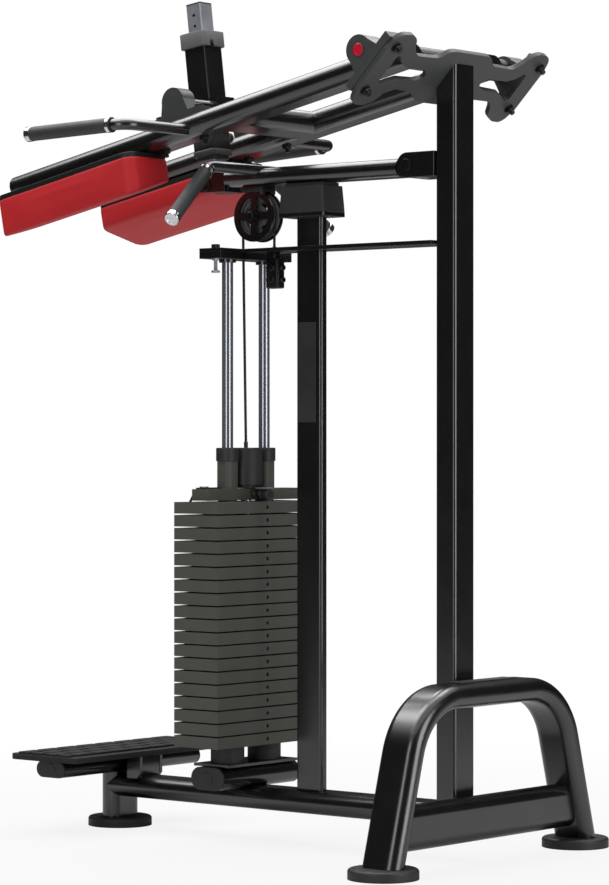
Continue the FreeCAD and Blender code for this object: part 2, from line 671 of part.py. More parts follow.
def base_frame():
    """The rail, posts, platform, arch and feet."""
    rail = rail_body()
    post = front_post_body()
    tube = platform_tube_body()
    beam = crossbeam_body()
    arch = arch_solid(OVAL_WIDTH, OVAL_HEIGHT)
    arch_bore = arch_solid(OVAL_WIDTH - 2 * TUBE_WALL, OVAL_HEIGHT - 2 * TUBE_WALL)

    rail_start = FreeCAD.Vector(0, FRONT_POST_Y, RAIL_CENTRE_Z)
    rail_end = FreeCAD.Vector(0, ARCH_Y, RAIL_CENTRE_Z)
    rail_tube = oval_tube(rail_start, rail_end, X_AXIS, Z_AXIS, OVAL_WIDTH, OVAL_HEIGHT)

    post_start = FreeCAD.Vector(0, FRONT_POST_Y, FOOT_HEIGHT)
    post_end = FreeCAD.Vector(0, FRONT_POST_Y, PLATFORM_TUBE_BOTTOM + PLATFORM_TUBE_HEIGHT / 2)
    post_tube = oval_tube(post_start, post_end, X_AXIS, Y_AXIS, OVAL_WIDTH, OVAL_HEIGHT)

    half = PLATFORM_TUBE_LENGTH / 2
    level = PLATFORM_TUBE_BOTTOM + PLATFORM_TUBE_HEIGHT / 2
    tube_start = FreeCAD.Vector(-half, FRONT_POST_Y, level)
    tube_end = FreeCAD.Vector(half, FRONT_POST_Y, level)
    platform_tube = oval_tube(tube_start, tube_end, Y_AXIS, Z_AXIS, PLATFORM_TUBE_WIDTH, PLATFORM_TUBE_HEIGHT)

    beam_half = ARCH_FOOT_SPREAD / 2
    beam_start = FreeCAD.Vector(-beam_half, ARCH_Y, CROSSBEAM_CENTRE_Z)
    beam_end = FreeCAD.Vector(beam_half, ARCH_Y, CROSSBEAM_CENTRE_Z)
    beam_tube = oval_tube(beam_start, beam_end, Z_AXIS, Y_AXIS, OVAL_WIDTH, OVAL_HEIGHT)

    gussets = [gusset(rail.fuse(tube))]
    gussets.append(gussets[0].mirror(FreeCAD.Vector(0, 0, 0), X_AXIS))

    cap_right = end_cap(tube_end, X_AXIS, Y_AXIS, Z_AXIS, PLATFORM_TUBE_WIDTH, PLATFORM_TUBE_HEIGHT)
    stack_end = FreeCAD.Vector(STACK_TUBE_LENGTH / 2, 0, STACK_TUBE_Z)
    stack_cap = end_cap(stack_end, X_AXIS, Y_AXIS, Z_AXIS, OVAL_WIDTH, STACK_TUBE_HEIGHT)

    plaque = block(
        PLAQUE_LENGTH, PLAQUE_WIDTH, PLAQUE_THICKNESS,
        FreeCAD.Vector(0, ARCH_Y, ARCH_TOP_Z + PLAQUE_THICKNESS / 2),
    )
    foot_x = ARCH_FOOT_SPREAD / 2
    feet = [foot_pad(0, FRONT_POST_Y), foot_pad(foot_x, ARCH_Y), foot_pad(-foot_x, ARCH_Y)]
    legs_inside = keep_middle(beam_tube.cut(arch), CROSSBEAM_CENTRE_Z)
    return {
        "base_rail": [rail_tube.cut(post).cut(beam)],
        "front_post": [post_tube.cut(tube)],
        "platform_tube": [platform_tube] + gussets,
        "step_platform": [step_platform()],
        "foot_pads": feet,
        "tube_end_caps": both_sides(cap_right) + both_sides(stack_cap),
        "arch_tube": [arch.cut(arch_bore)],
        "crossbeam": [legs_inside],
        "arch_plaque": [plaque],
    }


def keep_middle(shape, level):
    """The solid of a cut shape that holds the machine's middle plane."""
    return min(shape.Solids, key=lambda solid: abs(solid.CenterOfMass.x))


# Column, top bracket and housings

def column():
    """The main column, notched over the rail and cut to the bracket's slope at its top."""
    start = FreeCAD.Vector(0, COLUMN_Y, RAIL_CENTRE_Z)
    end = FreeCAD.Vector(0, COLUMN_Y, COLUMN_TOP_CENTRE_Z + COLUMN_DEPTH)
    tube = box_tube(
        start, end, X_AXIS, Y_AXIS, COLUMN_WIDTH, COLUMN_DEPTH, COLUMN_CORNER_RADIUS, TUBE_WALL)
    above = slab(
        rectangle(BRACKET_ORIGIN, X_AXIS, BRACKET_UP, COLUMN_WIDTH * 2, COLUMN_DEPTH * 4, 0),
        BRACKET_OUT * (COLUMN_DEPTH * 2),
    )
    return tube.cut(above).cut(rail_body())


def mirrored_outline(shares, radius):
    """The bracket's whole outline from the shares of its right half."""
    right = [(x * BRACKET_HALF_SPAN, y * BRACKET_DEPTH, share * radius) for x, y, share in shares]
    left = [(-x, y, r) for x, y, r in reversed(right)]
    return right + left


def bracket_bolt_places():
    """The four bolt places on the bracket, as (across, up)."""
    places = []
    for x in (-UPPER_HOUSING_X, UPPER_HOUSING_X):
        for side in (-1, 1):
            places.append((x, UPPER_HOUSING_SHIFT + side * HOUSING_BOLT_SPACING / 2))
    return places


def top_bracket():
    """The flat bracket plate with its two windows and bolt holes."""
    corners = mirrored_outline(BRACKET_HALF_OUTLINE_SHARES, BRACKET_EDGE_RADIUS)
    plate = slab(outline(BRACKET_ORIGIN, X_AXIS, BRACKET_UP, corners), BRACKET_OUT * BRACKET_THICKNESS)
    for side in (-1, 1):
        window = [
            (side * x * BRACKET_HALF_SPAN, y * BRACKET_DEPTH, share * BRACKET_EDGE_RADIUS)
            for x, y, share in BRACKET_WINDOW_SHARES
        ]
        plate = plate.cut(
            slab(outline(BRACKET_ORIGIN, X_AXIS, BRACKET_UP, window), BRACKET_OUT * BRACKET_THICKNESS))
    for x, up in bracket_bolt_places():
        hole = bar(bracket_point(x, up), bracket_point(x, up, BRACKET_THICKNESS), BOLT_DIAMETER / 2)
        plate = plate.cut(hole)
    return plate


def pivot_housing(seat, along, out, width):
    """A round pivot block on a bolted foot, centred across on its seat point."""
    start = seat - X_AXIS * (width / 2)
    half_foot = HOUSING_FOOT_LENGTH / 2
    half_shoulder = HOUSING_SHOULDER_WIDTH / 2
    corners = [
        (-half_foot, 0, 0),
        (half_foot, 0, 0),
        (half_foot, HOUSING_FOOT_THICKNESS, 0),
        (half_shoulder, HOUSING_FOOT_THICKNESS, 0),
        (HOUSING_RADIUS, HOUSING_RISE, 0),
        (-HOUSING_RADIUS, HOUSING_RISE, 0),
        (-half_shoulder, HOUSING_FOOT_THICKNESS, 0),
        (-half_foot, HOUSING_FOOT_THICKNESS, 0),
    ]
    profile = slab(outline(start, along, out, corners), X_AXIS * width)
    axis_start = start + out * HOUSING_RISE
    barrel = bar(axis_start, axis_start + X_AXIS * width, HOUSING_RADIUS)
    body = profile.fuse(barrel)
    for side in (-1, 1):
        place = seat + along * (side * HOUSING_BOLT_SPACING / 2)
        body = body.cut(bar(place, place + out * HOUSING_FOOT_THICKNESS, BOLT_DIAMETER / 2))
    return body.removeSplitter()


def upper_housing(side):
    """A bracket housing, bored right through for the pivot shaft."""
    seat = bracket_point(side * UPPER_HOUSING_X, UPPER_HOUSING_SHIFT, BRACKET_THICKNESS)
    body = pivot_housing(seat, BRACKET_UP, BRACKET_OUT, UPPER_HOUSING_WIDTH)
    reach = X_AXIS * (UPPER_HOUSING_WIDTH / 2)
    axis = seat + BRACKET_OUT * HOUSING_RISE
    return body.cut(bar(axis - reach, axis + reach, PIVOT_SHAFT_DIAMETER / 2 + RUNNING_CLEARANCE))


def bearing_cap(side):
    """The coloured plug that closes a housing's outer bore."""
    outer = PRESS_PIVOT + X_AXIS * (side * (UPPER_HOUSING_X + UPPER_HOUSING_WIDTH / 2 + BEARING_CAP_PROUD))
    inner = outer - X_AXIS * (side * BEARING_CAP_THICKNESS)
    return bar(inner, outer, PIVOT_SHAFT_DIAMETER / 2 + RUNNING_CLEARANCE)


def bracket_bolts():
    """The bolts through the bracket and the feet of its housings."""
    bolts = []
    for x, up in bracket_bolt_places():
        start = bracket_point(x, up, BRACKET_THICKNESS + HOUSING_FOOT_THICKNESS)
        bolts.append(through_bolt(start, bracket_point(x, up), BOLT_DIAMETER))
    return bolts


def lever_bracket():
    """The weight arm's pivot ears on a plate welded to the column."""
    ear_y = WEIGHT_PIVOT_Y
    rear = COLUMN_FRONT_Y - WELD_PLATE
    half_height = EAR_HEIGHT / 2
    inner_x = EAR_OUTER_SPREAD / 2 - EAR_THICKNESS
    ears = []
    for side in (-1, 1):
        centre = FreeCAD.Vector(side * (inner_x + EAR_THICKNESS / 2), 0, WEIGHT_PIVOT_Z)
        middle_y = (ear_y + rear) / 2
        plate = block(EAR_THICKNESS, rear - ear_y, EAR_HEIGHT, centre + Y_AXIS * middle_y)
        nose = Part.makeCylinder(
            half_height, EAR_THICKNESS, centre + Y_AXIS * ear_y - X_AXIS * (EAR_THICKNESS / 2), X_AXIS)
        ears.append(plate.fuse(nose))
    back = block(
        EAR_OUTER_SPREAD, WELD_PLATE, EAR_HEIGHT,
        FreeCAD.Vector(0, COLUMN_FRONT_Y - WELD_PLATE / 2, WEIGHT_PIVOT_Z),
    )
    web_length = rear - ear_y - HUB_RADIUS - WELD_PLATE / 2
    web = block(
        inner_x * 2, web_length, WELD_PLATE,
        FreeCAD.Vector(0, rear - web_length / 2, WEIGHT_PIVOT_Z - half_height + WELD_PLATE / 2),
    )
    body = back.fuse(ears + [web])
    reach = X_AXIS * EAR_OUTER_SPREAD
    bore = bar(WEIGHT_PIVOT - reach, WEIGHT_PIVOT + reach, WEIGHT_BOLT_DIAMETER / 2)
    return body.cut(bore).removeSplitter()


def lever_pivot_bolt():
    """The weight arm's pivot bolt with a round head at each end."""
    half = EAR_OUTER_SPREAD / 2
    shank = bar(WEIGHT_PIVOT - X_AXIS * half, WEIGHT_PIVOT + X_AXIS * half, WEIGHT_BOLT_DIAMETER / 2)
    heads = []
    for side in (-1, 1):
        start = WEIGHT_PIVOT + X_AXIS * (side * half)
        end = start + X_AXIS * (side * WEIGHT_BOLT_HEAD_HEIGHT)
        heads.append(bar(start, end, WEIGHT_BOLT_HEAD_DIAMETER / 2))
    return shank.fuse(heads).removeSplitter()


def column_group():
    """The column, its bracket and everything bolted to it."""
    return {
        "main_column": [column()],
        "top_bracket": [top_bracket()],
        "bracket_bolts": bracket_bolts(),
        "upper_housings": [upper_housing(-1), upper_housing(1)],
        "bearing_caps": [bearing_cap(-1), bearing_cap(1)],
        "lever_bracket": [lever_bracket()],
        "lever_pivot_bolt": [lever_pivot_bolt()],
    }


# Centre column and bumper

def centre_column_body():
    """The centre column's full outer form."""
    start = FreeCAD.Vector(0, CENTRE_COLUMN_Y, RAIL_CENTRE_Z)
    section = rectangle(
        start, X_AXIS, Y_AXIS, CENTRE_COLUMN_WIDTH, CENTRE_COLUMN_DEPTH, CENTRE_COLUMN_CORNER_RADIUS)
    return slab(section, Z_AXIS * (BUMPER_BOTTOM - BUMPER_PLATE_THICKNESS - RAIL_CENTRE_Z))


def centre_group():
    """The centre column with its top plate, and the bumper block that the weight arm rests on."""
    start = FreeCAD.Vector(0, CENTRE_COLUMN_Y, RAIL_CENTRE_Z)
    end = FreeCAD.Vector(0, CENTRE_COLUMN_Y, BUMPER_BOTTOM - BUMPER_PLATE_THICKNESS)
    tube = box_tube(
        start, end, X_AXIS, Y_AXIS, CENTRE_COLUMN_WIDTH, CENTRE_COLUMN_DEPTH,
        CENTRE_COLUMN_CORNER_RADIUS, TUBE_WALL)
    plate = slab(
        rectangle(end, X_AXIS, Y_AXIS, BUMPER_BASE_WIDTH, BUMPER_BASE_DEPTH, BUMPER_CORNER_RADIUS),
        Z_AXIS * BUMPER_PLATE_THICKNESS,
    )
    low = FreeCAD.Vector(0, CENTRE_COLUMN_Y, BUMPER_BOTTOM)
    high = FreeCAD.Vector(0, CENTRE_COLUMN_Y, BUMPER_TOP)
    base = rectangle(low, X_AXIS, Y_AXIS, BUMPER_BASE_WIDTH, BUMPER_BASE_DEPTH, BUMPER_CORNER_RADIUS)
    top = rectangle(high, X_AXIS, Y_AXIS, BUMPER_TOP_WIDTH, BUMPER_TOP_DEPTH, BUMPER_CORNER_RADIUS)
    return {
        "centre_column": [tube.cut(rail_body()).fuse(plate).removeSplitter()],
        "bumper_block": [Part.makeLoft([base, top], True, True)],
    }


# Weight stack

def rod_places():
    """The two guide rods' places across the machine."""
    return (-ROD_SPREAD / 2, ROD_SPREAD / 2)


def weight_plate(bottom):
    """One weight plate with its rod holes, selector bore, pin hole and top spacers."""
    middle = FreeCAD.Vector(0, 0, bottom + PLATE_THICKNESS / 2)
    plate = block(PLATE_LENGTH, PLATE_DEPTH, PLATE_THICKNESS, middle)
    top = bottom + PLATE_THICKNESS
    spacers = []
    for x in rod_places():
        spacers.append(Part.makeCylinder(SPACER_DIAMETER / 2, PLATE_SPACER, FreeCAD.Vector(x, 0, top)))
    plate = plate.fuse(spacers)
    hole_radius = ROD_DIAMETER / 2 + ROD_HOLE_CLEARANCE
    for x in rod_places():
        plate = plate.cut(Part.makeCylinder(hole_radius, PLATE_PITCH, FreeCAD.Vector(x, 0, bottom)))
    bore_radius = SELECTOR_DIAMETER / 2 + SELECTOR_BORE_CLEARANCE
    plate = plate.cut(Part.makeCylinder(bore_radius, PLATE_THICKNESS, FreeCAD.Vector(0, 0, bottom)))
    pin_hole = bar(middle, middle + Y_AXIS * (PLATE_DEPTH / 2), PIN_HOLE_DIAMETER / 2)
    return plate.cut(pin_hole)


def stack_group():
    """The plates, guide rods, bumpers and the cross tube they stand on."""
    half = STACK_TUBE_LENGTH / 2
    start = FreeCAD.Vector(-half, 0, STACK_TUBE_Z)
    end = FreeCAD.Vector(half, 0, STACK_TUBE_Z)
    tube = oval_tube(start, end, Y_AXIS, Z_AXIS, OVAL_WIDTH, STACK_TUBE_HEIGHT).cut(rail_body())
    base_plate = block(
        STACK_PLATE_LENGTH, STACK_PLATE_DEPTH, STACK_PLATE_THICKNESS,
        FreeCAD.Vector(0, 0, STACK_PLATE_TOP - STACK_PLATE_THICKNESS / 2),
    )
    rods = []
    bumpers = []
    rod_top = GUIDE_HEAD_BOTTOM + ROD_SEAT_DEPTH
    for x in rod_places():
        foot = FreeCAD.Vector(x, 0, STACK_PLATE_TOP)
        rods.append(Part.makeCylinder(ROD_DIAMETER / 2, rod_top - STACK_PLATE_TOP, foot))
        bumpers.append(ring(foot, foot + Z_AXIS * BUMPER_HEIGHT, BUMPER_DIAMETER / 2, ROD_DIAMETER / 2))
    plates = [weight_plate(STACK_BOTTOM + index * PLATE_PITCH) for index in range(PLATE_COUNT)]
    return {
        "stack_base": [tube.fuse(base_plate)],
        "stack_bumpers": bumpers,
        "guide_rods": rods,
        "weight_plates": plates,
    }


def head_group():
    """The lifting head: narrow top plate, rod sleeves, collars, cable drum and selector rod."""
    middle = FreeCAD.Vector(0, 0, HEAD_PLATE_BOTTOM + PLATE_THICKNESS / 2)
    plate = block(HEAD_PLATE_LENGTH, HEAD_PLATE_DEPTH, PLATE_THICKNESS, middle)
    hole_radius = ROD_DIAMETER / 2 + ROD_HOLE_CLEARANCE
    sleeves = []
    collars = []
    for x in rod_places():
        low = FreeCAD.Vector(x, 0, HEAD_PLATE_BOTTOM)
        plate = plate.cut(Part.makeCylinder(hole_radius, PLATE_THICKNESS, low))
        foot = FreeCAD.Vector(x, 0, HEAD_PLATE_TOP)
        sleeves.append(ring(foot, foot + Z_AXIS * SLEEVE_TUBE_HEIGHT, SLEEVE_TUBE_DIAMETER / 2, hole_radius))
        seat = FreeCAD.Vector(x, 0, HEAD_COLLAR_BOTTOM)
        collars.append(Part.makeCylinder(HEAD_COLLAR_DIAMETER / 2, HEAD_COLLAR_HEIGHT, seat))
    plate = plate.cut(bar(middle, middle + Y_AXIS * (HEAD_PLATE_DEPTH / 2), PIN_HOLE_DIAMETER / 2))
    plate = plate.cut(Part.makeCylinder(SELECTOR_DIAMETER / 2, PLATE_THICKNESS, middle - Z_AXIS * (PLATE_THICKNESS / 2)))
    drum = Part.makeCylinder(DRUM_DIAMETER / 2, DRUM_HEIGHT, FreeCAD.Vector(0, 0, HEAD_TOP - DRUM_HEIGHT))
    web = block(
        ROD_SPREAD, DRUM_WEB_DEPTH, HEAD_COLLAR_HEIGHT,
        FreeCAD.Vector(0, 0, HEAD_COLLAR_BOTTOM + HEAD_COLLAR_HEIGHT / 2),
    )
    yoke = drum.fuse(collars + [web])
    for x in rod_places():
        yoke = yoke.cut(Part.makeCylinder(hole_radius, DRUM_HEIGHT, FreeCAD.Vector(x, 0, HEAD_TOP - DRUM_HEIGHT)))
    for sleeve in sleeves:
        yoke = yoke.cut(sleeve)
    rod_bottom = STACK_BOTTOM + SELECTOR_TAIL_GAP
    selector = Part.makeCylinder(
        SELECTOR_DIAMETER / 2, HEAD_PLATE_TOP - rod_bottom, FreeCAD.Vector(0, 0, rod_bottom))
    for index in range(PLATE_COUNT + 1):
        level = FreeCAD.Vector(0, 0, STACK_BOTTOM + index * PLATE_PITCH + PLATE_THICKNESS / 2)
        reach = Y_AXIS * (SELECTOR_DIAMETER / 2)
        selector = selector.cut(bar(level - reach, level + reach, PIN_HOLE_DIAMETER / 2))
    shank = bar(
        middle - Y_AXIS * PIN_INNER_REACH,
        middle + Y_AXIS * (HEAD_PLATE_DEPTH / 2 + PIN_KNOB_GAP), PIN_DIAMETER / 2)
    knob_start = middle + Y_AXIS * (HEAD_PLATE_DEPTH / 2 + PIN_KNOB_GAP)
    knob = bar(knob_start, knob_start + Y_AXIS * PIN_KNOB_LENGTH, PIN_KNOB_DIAMETER / 2)
    tab = block(
        PIN_TAB_WIDTH, PIN_KNOB_LENGTH, PIN_TAB_THICKNESS,
        knob_start + Y_AXIS * (PIN_KNOB_LENGTH / 2) + Z_AXIS * (PIN_KNOB_DIAMETER / 2),
    )
    return {
        "head_plate": [plate],
        "head_sleeves": sleeves,
        "head_yoke": [yoke],
        "selector_rod": [selector],
        "selector_pin": [shank.fuse([knob, tab])],
    }


def guide_group():
    """The head that holds the guide rods' tops, its strap to the column and the cable clamp."""
    bottom = FreeCAD.Vector(0, 0, GUIDE_HEAD_BOTTOM)
    head = block(
        GUIDE_HEAD_LENGTH, GUIDE_HEAD_DEPTH, GUIDE_HEAD_HEIGHT, bottom + Z_AXIS * (GUIDE_HEAD_HEIGHT / 2))
    collars = []
    for x in rod_places():
        seat = FreeCAD.Vector(x, 0, GUIDE_HEAD_BOTTOM - ROD_COLLAR_HEIGHT)
        collars.append(Part.makeCylinder(ROD_COLLAR_DIAMETER / 2, ROD_COLLAR_HEIGHT, seat))
    head = head.fuse(collars)
    for x in rod_places():
        seat = FreeCAD.Vector(x, 0, GUIDE_HEAD_BOTTOM - ROD_COLLAR_HEIGHT)
        head = head.cut(Part.makeCylinder(ROD_DIAMETER / 2, ROD_COLLAR_HEIGHT + ROD_SEAT_DEPTH, seat))

    half_depth = GUIDE_HEAD_DEPTH / 2
    half_length = GUIDE_HEAD_LENGTH / 2
    half_strap = STRAP_WIDTH / 2
    corners = [
        (-half_length, -half_depth, 0),
        (half_length, -half_depth, 0),
        (half_length, half_depth, 0),
        (half_strap, half_depth, 0),
        (half_strap, COLUMN_FRONT_Y, 0),
        (-half_strap, COLUMN_FRONT_Y, 0),
        (-half_strap, half_depth, 0),
        (-half_length, half_depth, 0),
    ]
    strap_origin = FreeCAD.Vector(0, 0, STRAP_BOTTOM)
    strap = slab(outline(strap_origin, X_AXIS, Y_AXIS, corners), Z_AXIS * STRAP_THICKNESS)
    strap = strap.cut(centre_column_body())
    hole_height = STRAP_TOP - GUIDE_HEAD_BOTTOM
    front_hole = Part.makeCylinder(
        CABLE_HOLE_DIAMETER / 2, hole_height, FreeCAD.Vector(0, STRAND_FRONT_Y, GUIDE_HEAD_BOTTOM))
    rear_hole = Part.makeCylinder(
        CABLE_HOLE_DIAMETER / 2, hole_height, FreeCAD.Vector(0, STRAND_REAR_Y, GUIDE_HEAD_BOTTOM))
    head = head.cut(front_hole)
    strap = strap.cut(front_hole).cut(rear_hole)

    clamp_top = FreeCAD.Vector(0, STRAND_REAR_Y, STRAP_BOTTOM)
    clamp = slab(
        rectangle(clamp_top, X_AXIS, Y_AXIS, CLAMP_WIDTH, CLAMP_DEPTH, CLAMP_CORNER_RADIUS),
        Z_AXIS * -CLAMP_HEIGHT,
    )
    clamp_parts = []
    for drop in (CLAMP_SCREW_EDGE, CLAMP_HEIGHT - CLAMP_SCREW_EDGE):
        level = clamp_top - Z_AXIS * drop
        front = level - Y_AXIS * (CLAMP_DEPTH / 2)
        rear = level + Y_AXIS * (CLAMP_DEPTH / 2)
        shank = bar(front, rear, CLAMP_SCREW_DIAMETER / 2)
        clamp = clamp.cut(shank)
        head_start = rear + Y_AXIS * CLAMP_SCREW_HEAD_HEIGHT
        nut_start = front - Y_AXIS * CLAMP_SCREW_HEAD_HEIGHT
        cap = bar(rear, head_start, CLAMP_SCREW_HEAD_DIAMETER / 2)
        nut = bar(nut_start, front, CLAMP_SCREW_HEAD_DIAMETER / 2)
        clamp_parts.append(shank.fuse([cap, nut]).removeSplitter())

    place = FreeCAD.Vector(STOP_BOLT_X, 0, STRAP_TOP)
    under = FreeCAD.Vector(STOP_BOLT_X, 0, GUIDE_HEAD_BOTTOM)
    shank = bar(under, place, STOP_BOLT_DIAMETER / 2)
    cap = bar(place, place + Z_AXIS * STOP_CAP_HEIGHT, STOP_CAP_DIAMETER / 2)
    nut_end = under - Z_AXIS * STOP_NUT_HEIGHT
    nut = hexagon_bar(under, Z_AXIS * -1, STOP_NUT_DIAMETER, STOP_NUT_HEIGHT)
    stud_end = nut_end - Z_AXIS * STOP_STUD_LENGTH
    stud = bar(nut_end, stud_end, STOP_BOLT_DIAMETER / 2)
    foot = bar(stud_end, stud_end + Z_AXIS * STOP_FOOT_HEIGHT, STOP_CAP_DIAMETER / 2)
    stop = shank.fuse([cap, nut, stud, foot]).removeSplitter()
    head = head.cut(shank)
    strap = strap.cut(shank)
    return {
        "guide_head": [head],
        "guide_strap": [strap],
        "guide_stop_bolt": [stop],
        "cable_clamp": [clamp] + clamp_parts,
    }


# Weight arm

def handle(root, bend, aim, bend_radius, grip_length):
    """A handle: its bent tube, rubber grip, chrome ring and end cap, in that order."""
    direction = (aim - bend).normalize()
    tangent = (bend - root).normalize()
    setback = bend_radius / math.tan((tangent * -1).getAngle(direction) / 2)
    grip_start = bend + direction * (setback + GRIP_NECK)
    ring_end = grip_start + direction * GRIP_RING_LENGTH
    end = grip_start + direction * grip_length
    cap_start = end - direction * GRIP_END_LENGTH
    path = bent_path([root, bend, cap_start], bend_radius)
    section = Part.Wire(Part.makeCircle(HANDLE_DIAMETER / 2, root, tangent))
    tube = sweep(path, section)
    grip_radius = HANDLE_DIAMETER / 2
    grip = ring(ring_end, cap_start, GRIP_DIAMETER / 2, grip_radius)
    collar = ring(grip_start, ring_end, GRIP_RING_DIAMETER / 2, grip_radius)
    cap = bar(cap_start, end, GRIP_RING_DIAMETER / 2)
    return tube, grip, collar, cap


def weight_arm_body():
    """The weight arm tube's full outer form."""
    start = FreeCAD.Vector(0, WEIGHT_ARM_FRONT_Y, WEIGHT_ARM_Z)
    end = FreeCAD.Vector(0, WEIGHT_PIVOT_Y - WEIGHT_ARM_REAR_GAP, WEIGHT_ARM_Z)
    return oval_bar(start, end, X_AXIS, Z_AXIS, WEIGHT_ARM_WIDTH, WEIGHT_ARM_HEIGHT)


def weight_lever():
    """The weight arm: an oval tube closed in front, with a neck and hub at its pivot."""
    start = FreeCAD.Vector(0, WEIGHT_ARM_FRONT_Y, WEIGHT_ARM_Z)
    end = FreeCAD.Vector(0, WEIGHT_PIVOT_Y - WEIGHT_ARM_REAR_GAP, WEIGHT_ARM_Z)
    body = weight_arm_body()
    bore = oval_bar(
        start + Y_AXIS * CAP_THICKNESS, end - Y_AXIS * CAP_THICKNESS, X_AXIS, Z_AXIS,
        WEIGHT_ARM_WIDTH - 2 * TUBE_WALL, WEIGHT_ARM_HEIGHT - 2 * TUBE_WALL)
    hub_half = EAR_OUTER_SPREAD / 2 - EAR_THICKNESS - EAR_SIDE_GAP
    neck = block(
        hub_half * 2, WEIGHT_ARM_REAR_GAP, NECK_HEIGHT,
        FreeCAD.Vector(0, WEIGHT_PIVOT_Y - WEIGHT_ARM_REAR_GAP / 2, WEIGHT_ARM_Z),
    )
    reach = X_AXIS * hub_half
    hub = bar(WEIGHT_PIVOT - reach, WEIGHT_PIVOT + reach, HUB_RADIUS)
    bolt_bore = bar(WEIGHT_PIVOT - reach, WEIGHT_PIVOT + reach, WEIGHT_BOLT_DIAMETER / 2 + RUNNING_CLEARANCE)
    return body.cut(bore).fuse([neck, hub]).cut(bolt_bore).removeSplitter()


def post_yoke():
    """The fork at the weight arm's front, with a floor, that the post's foot pin passes through."""
    rear = WEIGHT_ARM_FRONT_Y
    front = FOOT_PIVOT_Y - YOKE_FRONT_REACH
    low = FOOT_PIVOT_Z - YOKE_FRONT_REACH + YOKE_FLOOR * 2
    high = low + YOKE_HEIGHT
    cheek_radius = YOKE_FRONT_REACH / 2
    corners = [(front, low, cheek_radius), (rear, low, 0), (rear, high, 0), (front, high, cheek_radius)]
    parts = []
    for side in (-1, 1):
        inner = side * YOKE_GAP / 2
        origin = FreeCAD.Vector(inner, 0, 0)
        parts.append(slab(outline(origin, Y_AXIS, Z_AXIS, corners), X_AXIS * (side * YOKE_THICKNESS)))
    floor = block(
        YOKE_GAP, rear - front - YOKE_FRONT_REACH, YOKE_FLOOR,
        FreeCAD.Vector(0, (rear + front + YOKE_FRONT_REACH) / 2, low + YOKE_FLOOR / 2),
    )
    body = parts[0].fuse([parts[1], floor])
    reach = X_AXIS * YOKE_GAP
    return body.cut(bar(FOOT_PIVOT - reach, FOOT_PIVOT + reach, FOOT_PIN_DIAMETER / 2 + RUNNING_CLEARANCE))


def spoke_windows(start, thickness, inner, outer, spoke):
    """Four quarter windows between two radii, as one cutting shape along X."""
    end = start + X_AXIS * thickness
    band = ring(start, end, outer, inner)
    middle = start + X_AXIS * (thickness / 2)
    upright = block(thickness, spoke, outer * 2, middle)
    level = block(thickness, outer * 2, spoke, middle)
    return band.cut(upright.fuse(level))


def pulley():
    """The grooved wheel, with a thin spoked web between hub and rim."""
    half = PULLEY_WIDTH / 2
    start = PULLEY_CENTRE - X_AXIS * half
    end = PULLEY_CENTRE + X_AXIS * half
    wheel = bar(start, end, PULLEY_RIM_RADIUS)
    pocket_outer = PULLEY_RIM_RADIUS - PULLEY_RIM_DEPTH
    pocket_depth = (PULLEY_WIDTH - PULLEY_WEB_WIDTH) / 2
    wheel = wheel.cut(ring(start, start + X_AXIS * pocket_depth, pocket_outer, PULLEY_HUB_RADIUS))
    wheel = wheel.cut(ring(end - X_AXIS * pocket_depth, end, pocket_outer, PULLEY_HUB_RADIUS))
    wheel = wheel.cut(spoke_windows(
        start, PULLEY_WIDTH, PULLEY_HUB_RADIUS + CABLE_DIAMETER, pocket_outer - CABLE_DIAMETER,
        PULLEY_SPOKE_WIDTH))
    groove = Part.makeTorus(
        PULLEY_GROOVE_RADIUS, CABLE_DIAMETER / 2 + RUNNING_CLEARANCE, PULLEY_CENTRE, X_AXIS)
    mouth = CABLE_DIAMETER / 2 + RUNNING_CLEARANCE
    flare = PULLEY_WIDTH / 3
    profile = Part.makePolygon([
        PULLEY_CENTRE + X_AXIS * -mouth + Z_AXIS * PULLEY_GROOVE_RADIUS,
        PULLEY_CENTRE + X_AXIS * mouth + Z_AXIS * PULLEY_GROOVE_RADIUS,
        PULLEY_CENTRE + X_AXIS * flare + Z_AXIS * (PULLEY_RIM_RADIUS + CABLE_DIAMETER),
        PULLEY_CENTRE + X_AXIS * -flare + Z_AXIS * (PULLEY_RIM_RADIUS + CABLE_DIAMETER),
        PULLEY_CENTRE + X_AXIS * -mouth + Z_AXIS * PULLEY_GROOVE_RADIUS,
    ])
    flared = Part.Face(profile).revolve(PULLEY_CENTRE, X_AXIS, 360)
    wheel = wheel.cut(groove.fuse(flared))
    return wheel.cut(bar(start, end, PULLEY_BOLT_DIAMETER / 2 + RUNNING_CLEARANCE))


